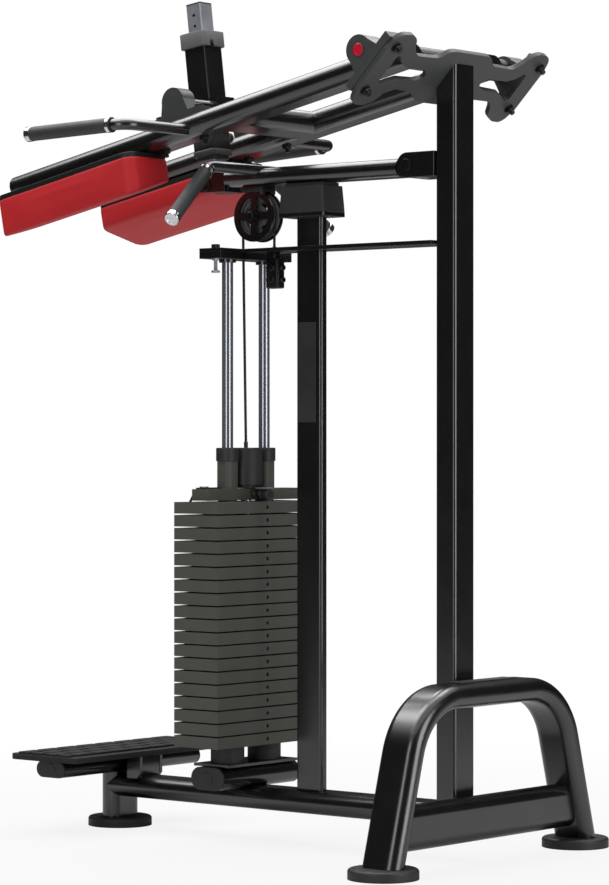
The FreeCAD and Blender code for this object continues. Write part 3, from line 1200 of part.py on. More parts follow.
def pulley_bracket():
    """Two windowed cheeks on a mount plate, and the bolt the pulley turns on."""
    inner = PULLEY_WIDTH / 2 + PULLEY_SIDE_GAP
    mount_bottom = WEIGHT_ARM_BOTTOM - CHEEK_MOUNT_THICKNESS
    parts = []
    for side in (-1, 1):
        near = PULLEY_CENTRE + X_AXIS * (side * inner)
        far = near + X_AXIS * (side * CHEEK_THICKNESS)
        disc = bar(near, far, CHEEK_RADIUS)
        neck_height = mount_bottom - PULLEY_Z
        neck_middle = (near + far) * 0.5 + Z_AXIS * (neck_height / 2)
        neck = block(CHEEK_THICKNESS, CHEEK_NECK_WIDTH, neck_height, neck_middle)
        low = min(near.x, far.x)
        window_start = FreeCAD.Vector(low, PULLEY_Y, PULLEY_Z)
        windows = spoke_windows(
            window_start, CHEEK_THICKNESS, CHEEK_WINDOW_INNER, CHEEK_WINDOW_OUTER, CHEEK_SPOKE_WIDTH)
        parts.append(disc.fuse(neck).cut(windows))
    outer = inner + CHEEK_THICKNESS
    mount = block(
        outer * 2, CHEEK_MOUNT_LENGTH, CHEEK_MOUNT_THICKNESS,
        FreeCAD.Vector(0, PULLEY_Y, mount_bottom + CHEEK_MOUNT_THICKNESS / 2),
    )
    start = PULLEY_CENTRE - X_AXIS * outer
    end = PULLEY_CENTRE + X_AXIS * outer
    shank = bar(start, end, PULLEY_BOLT_DIAMETER / 2)
    bracket = mount.fuse(parts).cut(shank)
    heads = []
    for side, place in ((-1, start), (1, end)):
        tip = place + X_AXIS * (side * PULLEY_BOLT_HEAD_HEIGHT)
        heads.append(bar(place, tip, PULLEY_BOLT_HEAD_DIAMETER / 2))
    return bracket, shank.fuse(heads).removeSplitter()


def weight_arm_group():
    """The weight arm with its pulley, strike pad, yoke and lower handles."""
    root = FreeCAD.Vector(0, LOWER_HANDLE_ROOT_Y, WEIGHT_PIVOT_Z + LOWER_HANDLE_ROOT_RISE)
    bend = FreeCAD.Vector(LOWER_HANDLE_BEND_X, LOWER_HANDLE_BEND_Y, WEIGHT_PIVOT_Z + LOWER_HANDLE_BEND_RISE)
    tip = FreeCAD.Vector(LOWER_HANDLE_END_X, LOWER_HANDLE_END_Y, WEIGHT_PIVOT_Z - LOWER_HANDLE_END_DROP)
    tube, grip, collar, cap = handle(root, bend, tip, LOWER_HANDLE_BEND_RADIUS, LOWER_GRIP_LENGTH)
    tube = max(tube.cut(weight_arm_body()).Solids, key=lambda solid: solid.Volume)
    strike = block(
        STRIKE_PAD_WIDTH, STRIKE_PAD_LENGTH, STRIKE_PAD_THICKNESS,
        FreeCAD.Vector(0, CENTRE_COLUMN_Y, BUMPER_TOP + STRIKE_PAD_THICKNESS / 2),
    )
    bracket, pulley_bolt = pulley_bracket()
    return {
        "weight_lever": [weight_lever()],
        "post_yoke": [post_yoke()],
        "strike_pad": [strike],
        "pulley_bracket": [bracket, pulley_bolt],
        "pulley": [pulley()],
        "lower_handle_tubes": both_sides(tube),
        "lower_grips": both_sides(grip),
        "lower_grip_ends": both_sides(collar) + both_sides(cap),
    }


# Telescoping post

def post_hole_reaches():
    """Hole places up the inner post, one of them level with the lock pin."""
    count = int((POST_TOP_REACH - LOCK_PIN_REACH) / POST_HOLE_PITCH)
    return [LOCK_PIN_REACH + index * POST_HOLE_PITCH for index in range(count)]


def post_group():
    """The foot pin, inner post, outer sleeve, collars, trunnion and lock pin."""
    low = post_point(0, -POST_BOTTOM_REACH)
    high = post_point(0, POST_TOP_REACH)
    inner = box_tube(low, high, X_AXIS, POST_REAR, POST_WIDTH, POST_WIDTH, POST_CORNER_RADIUS, POST_WALL)
    half = POST_WIDTH / 2
    boss = bar(FOOT_PIVOT - X_AXIS * half, FOOT_PIVOT + X_AXIS * half, FOOT_PIN_DIAMETER / 2 + POST_WALL)
    envelope = slab(
        rectangle(low, X_AXIS, POST_REAR, POST_WIDTH, POST_WIDTH, POST_CORNER_RADIUS), high - low)
    inner = inner.fuse(boss.common(envelope))
    reach = X_AXIS * POST_WIDTH
    inner = inner.cut(bar(FOOT_PIVOT - reach, FOOT_PIVOT + reach, FOOT_PIN_DIAMETER / 2 + RUNNING_CLEARANCE))
    for distance in post_hole_reaches():
        start = post_point(-half, distance)
        inner = inner.cut(bar(start, post_point(half, distance), POST_HOLE_DIAMETER / 2))

    pin_half = YOKE_GAP / 2 + YOKE_THICKNESS + FOOT_PIN_HEAD_GAP
    foot_pin = bar(FOOT_PIVOT - X_AXIS * pin_half, FOOT_PIVOT + X_AXIS * pin_half, FOOT_PIN_DIAMETER / 2)
    heads = []
    for side in (-1, 1):
        start = FOOT_PIVOT + X_AXIS * (side * pin_half)
        end = start + X_AXIS * (side * FOOT_PIN_HEAD_HEIGHT)
        heads.append(bar(start, end, FOOT_PIN_HEAD_DIAMETER / 2))
    foot_pin = foot_pin.fuse(heads)

    sleeve_low = post_point(0, SLEEVE_BOTTOM_REACH)
    sleeve_high = post_point(0, SLEEVE_TOP_REACH)
    sleeve = box_tube(
        sleeve_low, sleeve_high, X_AXIS, POST_REAR, SLEEVE_WIDTH, SLEEVE_WIDTH, POST_CORNER_RADIUS, SLEEVE_WALL)
    sleeve_body = slab(
        rectangle(sleeve_low, X_AXIS, POST_REAR, SLEEVE_WIDTH, SLEEVE_WIDTH, POST_CORNER_RADIUS),
        sleeve_high - sleeve_low)
    bore_width = POST_WIDTH + 2 * GUIDE_CLEARANCE
    bore_low = post_point(0, SLEEVE_BOTTOM_REACH - COLLAR_LIP - OVERRUN)
    bore_high = post_point(0, SLEEVE_TOP_REACH + COLLAR_LIP + OVERRUN)
    bore = slab(
        rectangle(bore_low, X_AXIS, POST_REAR, bore_width, bore_width, POST_CORNER_RADIUS),
        bore_high - bore_low)

    collar_low = post_point(0, SLEEVE_TOP_REACH + COLLAR_LIP - COLLAR_HEIGHT)
    collar = slab(
        rectangle(collar_low, X_AXIS, POST_REAR, COLLAR_WIDTH, COLLAR_WIDTH, COLLAR_LIP / 2),
        POST_UP * COLLAR_HEIGHT)
    notch_centre = collar_low + POST_REAR * (COLLAR_WIDTH / 2)
    notch = slab(
        rectangle(notch_centre, X_AXIS, POST_UP, COLLAR_NOTCH_WIDTH, COLLAR_NOTCH_HEIGHT * 2,
                  COLLAR_NOTCH_WIDTH / 2 - GUIDE_CLEARANCE),
        POST_REAR * -(COLLAR_WIDTH / 2 - SLEEVE_WIDTH / 2))
    collar = collar.cut(bore).cut(sleeve_body).cut(notch)
    boot_low = post_point(0, SLEEVE_BOTTOM_REACH - COLLAR_LIP)
    boot = slab(
        rectangle(boot_low, X_AXIS, POST_REAR, BOOT_WIDTH, BOOT_WIDTH, COLLAR_LIP / 2),
        POST_UP * BOOT_HEIGHT)
    boot = boot.cut(bore).cut(sleeve_body)

    offset = POST_PIVOT - FOOT_PIVOT
    pivot_reach = offset.dot(POST_UP)
    pivot_rear = offset.dot(POST_REAR)
    sleeve_half = SLEEVE_WIDTH / 2
    saddle_depth = pivot_rear + TRUNNION_BLOCK_MARGIN - sleeve_half
    saddle_start = post_point(-sleeve_half, pivot_reach, sleeve_half + saddle_depth / 2)
    saddle = slab(
        rectangle(saddle_start, POST_REAR, POST_UP, saddle_depth, TRUNNION_BLOCK_HEIGHT, 0),
        X_AXIS * SLEEVE_WIDTH)
    tip = ARM_TUBE_X + POST_HOUSING_WIDTH / 2 - TRUNNION_END_GAP - POST_HOUSING_FLOOR
    trunnion_shaft = bar(POST_PIVOT - X_AXIS * tip, POST_PIVOT + X_AXIS * tip, TRUNNION_DIAMETER / 2)
    trunnion = saddle.fuse(trunnion_shaft)

    pin_place = post_point(0, LOCK_PIN_REACH)
    boss_start = pin_place - X_AXIS * sleeve_half
    boss_end = boss_start - X_AXIS * LOCK_BOSS_LENGTH
    lock_boss = bar(boss_start, boss_end, LOCK_BOSS_DIAMETER / 2)
    pin_tip = pin_place - X_AXIS * (sleeve_half - SLEEVE_WALL)
    knob_end = boss_end - X_AXIS * LOCK_KNOB_LENGTH
    pin_bore = bar(pin_tip, knob_end, LOCK_PIN_DIAMETER / 2 + RUNNING_CLEARANCE)
    knob_start = boss_end - X_AXIS * LOCK_PIN_TRAVEL
    knob = bar(knob_start, knob_start - X_AXIS * LOCK_KNOB_LENGTH, LOCK_KNOB_DIAMETER / 2)
    lock_pin = bar(pin_tip, knob_start, LOCK_PIN_DIAMETER / 2).fuse(knob)
    sleeve = sleeve.fuse(lock_boss).cut(pin_bore).cut(trunnion_shaft)
    return {
        "foot_pin": [foot_pin.removeSplitter()],
        "inner_post": [inner],
        "post_sleeve": [sleeve],
        "sleeve_collars": [collar, boot],
        "trunnion": [trunnion],
        "lock_pin": [lock_pin],
    }


# Press arm

def arm_tube_body(x):
    """One arm tube's full outer form."""
    start = arm_point(x, -ARM_REAR_REACH, -ARM_TUBE_DROP)
    end = arm_point(x, ARM_FRONT_REACH, -ARM_TUBE_DROP)
    return oval_bar(start, end, X_AXIS, ARM_UP, OVAL_WIDTH, OVAL_HEIGHT)


def arm_bolt_places():
    """The housing bolts' places along the arm tubes, as (across, reach)."""
    places = []
    for x in (-ARM_TUBE_X, ARM_TUBE_X):
        for side in (-1, 1):
            places.append((x, POST_PIVOT_REACH + side * HOUSING_BOLT_SPACING / 2))
    return places


def arm_tube(x, torque_bar):
    """One hollow arm tube with closed, softened ends, notched round the torque tube."""
    body = arm_tube_body(x)
    start = arm_point(x, -ARM_REAR_REACH + CAP_THICKNESS, -ARM_TUBE_DROP)
    end = arm_point(x, ARM_FRONT_REACH - CAP_THICKNESS, -ARM_TUBE_DROP)
    bore = oval_bar(
        start, end, X_AXIS, ARM_UP, OVAL_WIDTH - 2 * TUBE_WALL, OVAL_HEIGHT - 2 * TUBE_WALL)
    tip = arm_point(x, ARM_FRONT_REACH, -ARM_TUBE_DROP)
    rims = [edge for edge in body.Edges if abs((edge.CenterOfMass - tip).dot(ARM_FORWARD)) < TUBE_WALL]
    body = body.makeFillet(TUBE_WALL, rims).cut(bore).cut(torque_bar)
    for bolt_x, reach in arm_bolt_places():
        low = arm_point(bolt_x, reach, ARM_BOTTOM_RISE)
        high = arm_point(bolt_x, reach, ARM_TOP_RISE)
        body = body.cut(bar(low, high, BOLT_DIAMETER / 2))
    return body


def post_housing(x):
    """A housing on an arm tube, bored from the inside for the trunnion with room for its travel."""
    seat = arm_point(x, POST_PIVOT_REACH, ARM_TOP_RISE)
    body = pivot_housing(seat, ARM_FORWARD, ARM_UP, POST_HOUSING_WIDTH)
    side = math.copysign(1, x)
    open_face = seat + ARM_UP * HOUSING_RISE - X_AXIS * (side * POST_HOUSING_WIDTH / 2)
    depth = POST_HOUSING_WIDTH - POST_HOUSING_FLOOR
    bore = bar(open_face, open_face + X_AXIS * (side * depth), TRUNNION_DIAMETER / 2 + TRUNNION_CLEARANCE)
    return body.cut(bore)


def shoulder_pad():
    """The right shoulder pad: a wedge, thicker on its outer side, with rounded plan corners."""
    half = PAD_WIDTH / 2
    top_rise = ARM_BOTTOM_RISE - PAD_BOARD_THICKNESS
    centre = arm_point(PAD_X, PAD_START_REACH + PAD_LENGTH / 2, top_rise)
    plan = slab(
        rectangle(centre, X_AXIS, ARM_FORWARD, PAD_WIDTH, PAD_LENGTH, PAD_CORNER_RADIUS),
        ARM_UP * -PAD_OUTER_THICKNESS)
    origin = arm_point(PAD_X, PAD_START_REACH, top_rise)
    corners = [
        (-half, 0, 0),
        (half, 0, 0),
        (half, -PAD_OUTER_THICKNESS, 0),
        (-half, -PAD_INNER_THICKNESS, 0),
    ]
    wedge = slab(outline(origin, X_AXIS, ARM_UP, corners), ARM_FORWARD * PAD_LENGTH)
    return plan.common(wedge)


def pad_board():
    """The right pad's backing board."""
    width = PAD_WIDTH - 2 * PAD_BOARD_INSET
    length = PAD_LENGTH - 2 * PAD_BOARD_INSET
    centre = arm_point(PAD_X, PAD_START_REACH + PAD_LENGTH / 2, ARM_BOTTOM_RISE)
    section = rectangle(centre, X_AXIS, ARM_FORWARD, width, length, PAD_CORNER_RADIUS - PAD_BOARD_INSET)
    return slab(section, ARM_UP * -PAD_BOARD_THICKNESS)


def pad_screws():
    """Round-headed screws down the right pad board's outer edge."""
    screws = []
    x = ARM_TUBE_X + OVAL_WIDTH / 2 + PAD_SCREW_DIAMETER
    spacing = (PAD_LENGTH - 2 * PAD_SCREW_EDGE) / (PAD_SCREW_COUNT - 1)
    for index in range(PAD_SCREW_COUNT):
        reach = PAD_START_REACH + PAD_SCREW_EDGE + index * spacing
        seat = arm_point(x, reach, ARM_BOTTOM_RISE)
        screws.append(bar(seat, seat + ARM_UP * PAD_SCREW_HEIGHT, PAD_SCREW_DIAMETER / 2))
    return screws


def press_arm_group():
    """The press arm: tubes, torque tube, housings, pads and upper handles."""
    inner_face = UPPER_HOUSING_X - UPPER_HOUSING_WIDTH / 2 - TORQUE_TUBE_END_GAP
    reach = X_AXIS * inner_face
    shaft_radius = PIVOT_SHAFT_DIAMETER / 2
    torque_bar = bar(PRESS_PIVOT - reach, PRESS_PIVOT + reach, TORQUE_TUBE_DIAMETER / 2)
    torque_tube = ring(
        PRESS_PIVOT - reach, PRESS_PIVOT + reach, TORQUE_TUBE_DIAMETER / 2, shaft_radius + RUNNING_CLEARANCE)
    shaft_reach = X_AXIS * (
        UPPER_HOUSING_X + UPPER_HOUSING_WIDTH / 2 + BEARING_CAP_PROUD - BEARING_CAP_THICKNESS - SHAFT_END_GAP)
    pivot_shaft = bar(PRESS_PIVOT - shaft_reach, PRESS_PIVOT + shaft_reach, shaft_radius)

    tubes = [arm_tube(-ARM_TUBE_X, torque_bar), arm_tube(ARM_TUBE_X, torque_bar)]
    bar_start = arm_point(-ARM_TUBE_X, CROSSBAR_REACH, -ARM_TUBE_DROP)
    bar_end = arm_point(ARM_TUBE_X, CROSSBAR_REACH, -ARM_TUBE_DROP)
    crossbar = oval_tube(bar_start, bar_end, ARM_FORWARD, ARM_UP, OVAL_WIDTH, OVAL_HEIGHT)
    bodies = arm_tube_body(-ARM_TUBE_X).fuse(arm_tube_body(ARM_TUBE_X))
    crossbar = keep_middle(crossbar.cut(bodies), CROSSBAR_REACH)

    bolts = []
    for x, bolt_reach in arm_bolt_places():
        top = arm_point(x, bolt_reach, ARM_TOP_RISE + HOUSING_FOOT_THICKNESS)
        bolts.append(through_bolt(top, arm_point(x, bolt_reach, ARM_BOTTOM_RISE), BOLT_DIAMETER))
    for screw in pad_screws():
        bolts.extend(both_sides(screw))

    handle_root = arm_point(ARM_TUBE_X, UPPER_HANDLE_ROOT_REACH, -UPPER_HANDLE_ROOT_DROP)
    handle_bend = arm_point(UPPER_HANDLE_BEND_X, UPPER_HANDLE_BEND_REACH, -ARM_TUBE_DROP)
    handle_tip = arm_point(UPPER_HANDLE_END_X, UPPER_HANDLE_END_REACH, UPPER_HANDLE_END_RISE)
    tube, grip, collar, cap = handle(
        handle_root, handle_bend, handle_tip, UPPER_HANDLE_BEND_RADIUS, GRIP_LENGTH)
    tube = max(tube.cut(arm_tube_body(ARM_TUBE_X)).Solids, key=lambda solid: solid.CenterOfMass.x)

    pad = shoulder_pad()
    return {
        "pivot_shaft": [pivot_shaft],
        "arm_tubes": tubes,
        "arm_crossbar": [crossbar],
        "torque_tube": [torque_tube],
        "post_housings": [post_housing(-ARM_TUBE_X), post_housing(ARM_TUBE_X)],
        "arm_bolts": bolts,
        "pad_boards": both_sides(pad_board()),
        "pad_right": [pad],
        "pad_left": [pad.mirror(FreeCAD.Vector(0, 0, 0), X_AXIS)],
        "upper_handle_tubes": both_sides(tube),
        "upper_grips": both_sides(grip),
        "upper_grip_ends": both_sides(collar) + both_sides(cap),
    }


# Cable

def cable_group():
    """The cable held taut: the run up from the lifting head, the wrap and the run to the clamp."""
    radius = CABLE_DIAMETER / 2
    front = FreeCAD.Vector(0, STRAND_FRONT_Y, PULLEY_Z)
    rear = FreeCAD.Vector(0, STRAND_REAR_Y, PULLEY_Z)
    over = PULLEY_CENTRE + Z_AXIS * PULLEY_GROOVE_RADIUS
    head_run = bar(FreeCAD.Vector(0, 0, HEAD_TOP), front - Z_AXIS * CABLE_JOIN_GAP, radius)
    arc = Part.Wire(Part.Arc(front, over, rear).toShape())
    wrap = sweep(arc, Part.Wire(Part.makeCircle(radius, front, Z_AXIS)))
    anchor_run = bar(FreeCAD.Vector(0, STRAND_REAR_Y, STRAP_BOTTOM), rear, radius)
    return {"cable_head_run": [head_run], "cable_wrap": [wrap], "cable_anchor_run": [anchor_run]}


# The machine is centred along its length, and each node is written as one file

def export_nodes(nodes):
    """Centre the machine over the origin and write every node."""
    everything = Part.makeCompound([solid for solids in nodes.values() for solid in solids])
    box = everything.optimalBoundingBox(False)
    shift = FreeCAD.Vector(0, -(box.YMin + box.YMax) / 2, 0)
    os.makedirs("parts", exist_ok=True)
    for name, solids in nodes.items():
        for solid in solids:
            if not solid.isValid() or not solid.isClosed():
                raise ValueError(f"{name} is not a closed valid solid")
        shape = Part.makeCompound([solid for piece in solids for solid in piece.Solids])
        shape.translate(shift)
        shape.exportStep(f"parts/{name}.step")
    return shift


def build_machine():
    """Build every node of the machine."""
    nodes = {}
    for group in (
        base_frame, column_group, centre_group, stack_group, head_group, guide_group,
        weight_arm_group, post_group, press_arm_group, cable_group,
    ):
        nodes.update(group())
    return nodes


NODES = build_machine()
SHIFT = export_nodes(NODES)
print(f"{len(NODES)} nodes, moved {SHIFT.y:.3f} mm along Y")
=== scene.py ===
"""Looks of a standing calf raise machine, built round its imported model.

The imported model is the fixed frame: its nodes keep their shape and place, and get softened edges and
a finish. Pads, grips' ends, bolts, pins, caps and other small pieces are modelled here. Lengths are
in metres, +X is the machine's right side, -Y the user's side and +Z is up.
"""

import json
import logging
import math
from dataclasses import dataclass, field
from enum import Enum
from typing import Callable

import bmesh
import bpy
import numpy
from mathutils import Matrix, Vector


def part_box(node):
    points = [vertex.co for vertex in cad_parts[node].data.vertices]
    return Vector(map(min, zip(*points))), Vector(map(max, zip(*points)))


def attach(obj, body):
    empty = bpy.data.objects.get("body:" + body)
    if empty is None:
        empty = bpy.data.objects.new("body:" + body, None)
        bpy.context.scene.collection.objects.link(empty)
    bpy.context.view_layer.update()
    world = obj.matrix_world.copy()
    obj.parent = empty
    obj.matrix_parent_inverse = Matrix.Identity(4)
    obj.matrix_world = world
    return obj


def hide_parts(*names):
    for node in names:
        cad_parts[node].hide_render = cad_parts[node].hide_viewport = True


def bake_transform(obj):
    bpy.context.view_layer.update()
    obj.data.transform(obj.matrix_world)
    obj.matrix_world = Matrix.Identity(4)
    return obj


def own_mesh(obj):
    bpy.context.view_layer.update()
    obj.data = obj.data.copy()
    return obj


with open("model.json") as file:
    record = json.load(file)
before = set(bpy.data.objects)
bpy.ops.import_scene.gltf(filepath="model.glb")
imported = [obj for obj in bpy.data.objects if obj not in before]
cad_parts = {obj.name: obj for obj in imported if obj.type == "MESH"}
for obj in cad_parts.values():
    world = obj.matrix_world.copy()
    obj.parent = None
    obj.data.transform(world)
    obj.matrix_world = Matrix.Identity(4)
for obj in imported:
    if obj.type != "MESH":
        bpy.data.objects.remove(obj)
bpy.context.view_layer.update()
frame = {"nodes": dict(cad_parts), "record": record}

LOG = logging.getLogger("calf_raise")
MM = 0.001
MERGE_DISTANCE = 0.02 * MM
SHARP_ANGLE = math.radians(20.0)
X_AXIS = Vector((1, 0, 0))
Y_AXIS = Vector((0, 1, 0))
Z_AXIS = Vector((0, 0, 1))
ARM_PIVOT = Vector((0, 456.375 * MM, 1695.477 * MM))
ARM_FORWARD = Vector((0, -0.97996, -0.19920))
ARM_UP = Vector((0, -0.19920, 0.97996))
BRACKET_OUT = Vector((0, -0.70711, 0.70711))
FOOT_PIVOT = Vector((0, -174.905 * MM, 1460.0 * MM))
POST_UP = Vector((0, -0.12360, 0.99233))
CORNER_SEGMENTS = 5
# Cosines past which a direction counts as parallel, and as steep.
NEARLY_ONE = 0.99
STEEP = 0.9
WHITE = "#ffffff"
# Values between which most of a noise texture lies.
NOISE_LOW, NOISE_HIGH = 0.3, 0.7
BUMP_STRENGTH = 0.6
# How many times longer than wide a brushed surface's lines are.
BRUSH_STRETCH = 60


def linear(hex_colour: str) -> tuple[float, float, float, float]:
    """Turn an sRGB hex colour into linear light.

    Args:
        hex_colour: Six hex digits after a hash sign.

    Returns:
        Red, green, blue and an alpha of one.
    """
    channels = [int(hex_colour[i:i + 2], 16) / 255 for i in (1, 3, 5)]
    low = [c / 12.92 if c <= 0.04045 else ((c + 0.055) / 1.055) ** 2.4 for c in channels]
    return (low[0], low[1], low[2], 1.0)


def add_node(
    tree: bpy.types.NodeTree, kind: str, options: dict[str, str] | None = None,
    values: dict[str | int, object] | None = None,
    links: dict[str | int, bpy.types.NodeSocket] | None = None,
) -> bpy.types.Node:
    """Add one shader node.

    Args:
        tree: The node tree that gets it.
        kind: The node's type name.
        options: Its own settings.
        values: Input sockets' values, by name or number.
        links: Output sockets to join, by the name or number of this node's input.

    Returns:
        The new node.
    """
    node = tree.nodes.new(kind)
    for name, value in (options or {}).items():
        setattr(node, name, value)
    for name, value in (values or {}).items():
        node.inputs[name].default_value = value
    for name, source in (links or {}).items():
        tree.links.new(source, node.inputs[name])
    return node


def empty_material(name: str) -> bpy.types.Material:
    """Make a material whose node tree holds nothing yet.

    Args:
        name: The finish in a maker's words.

    Returns:
        The new material.
    """
    material = bpy.data.materials.new(name)
    material.use_nodes = True
    material.node_tree.nodes.clear()
    return material


class Slot(Enum):
    """The record's material slots, and last the finish of the pads' boards."""

    FRAME_PAINT = "frame_paint"
    GREY_PAINT = "grey_paint"
    STEP_RUBBER = "step_rubber"
    BLACK_PLASTIC = "black_plastic"
    GREY_PLASTIC = "grey_plastic"
    RED_PLASTIC = "red_plastic"
    DARK_STEEL = "dark_steel"
    BLACK_RUBBER = "black_rubber"
    GRIP_RUBBER = "grip_rubber"
    CHROME = "chrome"
    ROD_STEEL = "rod_steel"
    POST_STEEL = "post_steel"
    PLATE_IRON = "plate_iron"
    RED_UPHOLSTERY = "red_upholstery"
    CABLE_JACKET = "cable_jacket"
    BOARD_PAINT = "board_paint"


class Pattern(Enum):
    """How a finish's fine relief is made."""

    ORANGE_PEEL = "orange peel"
    STIPPLE = "stipple"
    BRUSHED = "brushed"
    LEATHER = "leather"
    SMOOTH = "smooth"


@dataclass(frozen=True)
class Finish:
    """One real surface finish, built as a procedural material.

    Attributes:
        name: The finish in a maker's words.
        light: The brighter of its two colours.
        dark: The darker of its two colours.
        roughness: Its middle roughness.
        spread: How far the roughness wanders to each side.
        metallic: One for bare metal.
        ior: Index of refraction.
        coat: Weight of a clear top layer.
        coat_roughness: Roughness of that layer.
        pattern: The kind of fine relief.
        grain: Size of the relief's grain in millimetres.
        relief: Height of the relief in millimetres.
        mottle: Size of the slow colour change in millimetres.
        anisotropic: How far the gloss is drawn out along the brushing.
    """

    name: str
    light: str
    dark: str
    roughness: float
    spread: float = 0.04
    metallic: float = 0.0
    ior: float = 1.5
    coat: float = 0.0
    coat_roughness: float = 0.2
    pattern: Pattern = Pattern.ORANGE_PEEL
    grain: float = 2.0
    relief: float = 0.03
    mottle: float = 60.0
    anisotropic: float = 0.0

    def relief_height(self, tree: bpy.types.NodeTree, place: bpy.types.NodeSocket) -> bpy.types.NodeSocket:
        """Add the nodes for this finish's fine relief.

        Args:
            tree: The material's node tree.
            place: The object coordinates.

        Returns:
            The socket that gives the relief's height.
        """
        scale = 1 / (self.grain * MM)
        if self.pattern is Pattern.LEATHER:
            cells = add_node(
                tree, "ShaderNodeTexVoronoi", {"feature": "DISTANCE_TO_EDGE"},
                {"Scale": scale, "Randomness": 0.9}, {"Vector": place})
            ramp = add_node(
                tree, "ShaderNodeMapRange", {"interpolation_type": "SMOOTHSTEP"},
                {"From Min": 0.0, "From Max": 0.25}, {"Value": cells.outputs["Distance"]})
            return ramp.outputs["Result"]
        if self.pattern is Pattern.STIPPLE:
            dots = add_node(
                tree, "ShaderNodeTexVoronoi", {"feature": "F1"},
                {"Scale": scale, "Randomness": 0.6}, {"Vector": place})
            return dots.outputs["Distance"]
        if self.pattern is Pattern.BRUSHED:
            drawn = add_node(
                tree, "ShaderNodeMapping", values={"Scale": (scale, scale, scale / BRUSH_STRETCH)},
                links={"Vector": place})
            lines = add_node(
                tree, "ShaderNodeTexNoise", values={"Scale": 1.0, "Detail": 3.0},
                links={"Vector": drawn.outputs[0]})
            return lines.outputs[0]
        peel = add_node(
            tree, "ShaderNodeTexNoise", values={"Scale": scale, "Detail": 2.0, "Roughness": 0.45},
            links={"Vector": place})
        return peel.outputs[0]

    def build(self) -> bpy.types.Material:
        """Make the material.

        Returns:
            The new material.
        """
        material = empty_material(self.name)
        tree = material.node_tree
        place = add_node(tree, "ShaderNodeTexCoord").outputs["Object"]
        slow = add_node(
            tree, "ShaderNodeTexNoise",
            values={"Scale": 1 / (self.mottle * MM), "Detail": 3.0, "Roughness": 0.55},
            links={"Vector": place})
        colour = add_node(
            tree, "ShaderNodeMix", {"data_type": "RGBA"},
            {6: linear(self.dark), 7: linear(self.light)}, {0: slow.outputs[0]})
        rough = add_node(
            tree, "ShaderNodeMapRange",
            values={"From Min": NOISE_LOW, "From Max": NOISE_HIGH, "To Min": self.roughness - self.spread,
                    "To Max": self.roughness + self.spread},
            links={"Value": slow.outputs[0]})
        shader = add_node(
            tree, "ShaderNodeBsdfPrincipled",
            values={"Metallic": self.metallic, "IOR": self.ior, "Coat Weight": self.coat,
                    "Coat Roughness": self.coat_roughness, "Anisotropic": self.anisotropic},
            links={"Base Color": colour.outputs[2], "Roughness": rough.outputs[0]})
        if self.pattern is not Pattern.SMOOTH:
            bump = add_node(
                tree, "ShaderNodeBump", values={"Strength": BUMP_STRENGTH, "Distance": self.relief * MM},
                links={"Height": self.relief_height(tree, place)})
            tree.links.new(bump.outputs[0], shader.inputs["Normal"])
        add_node(tree, "ShaderNodeOutputMaterial", links={"Surface": shader.outputs[0]})
        return material


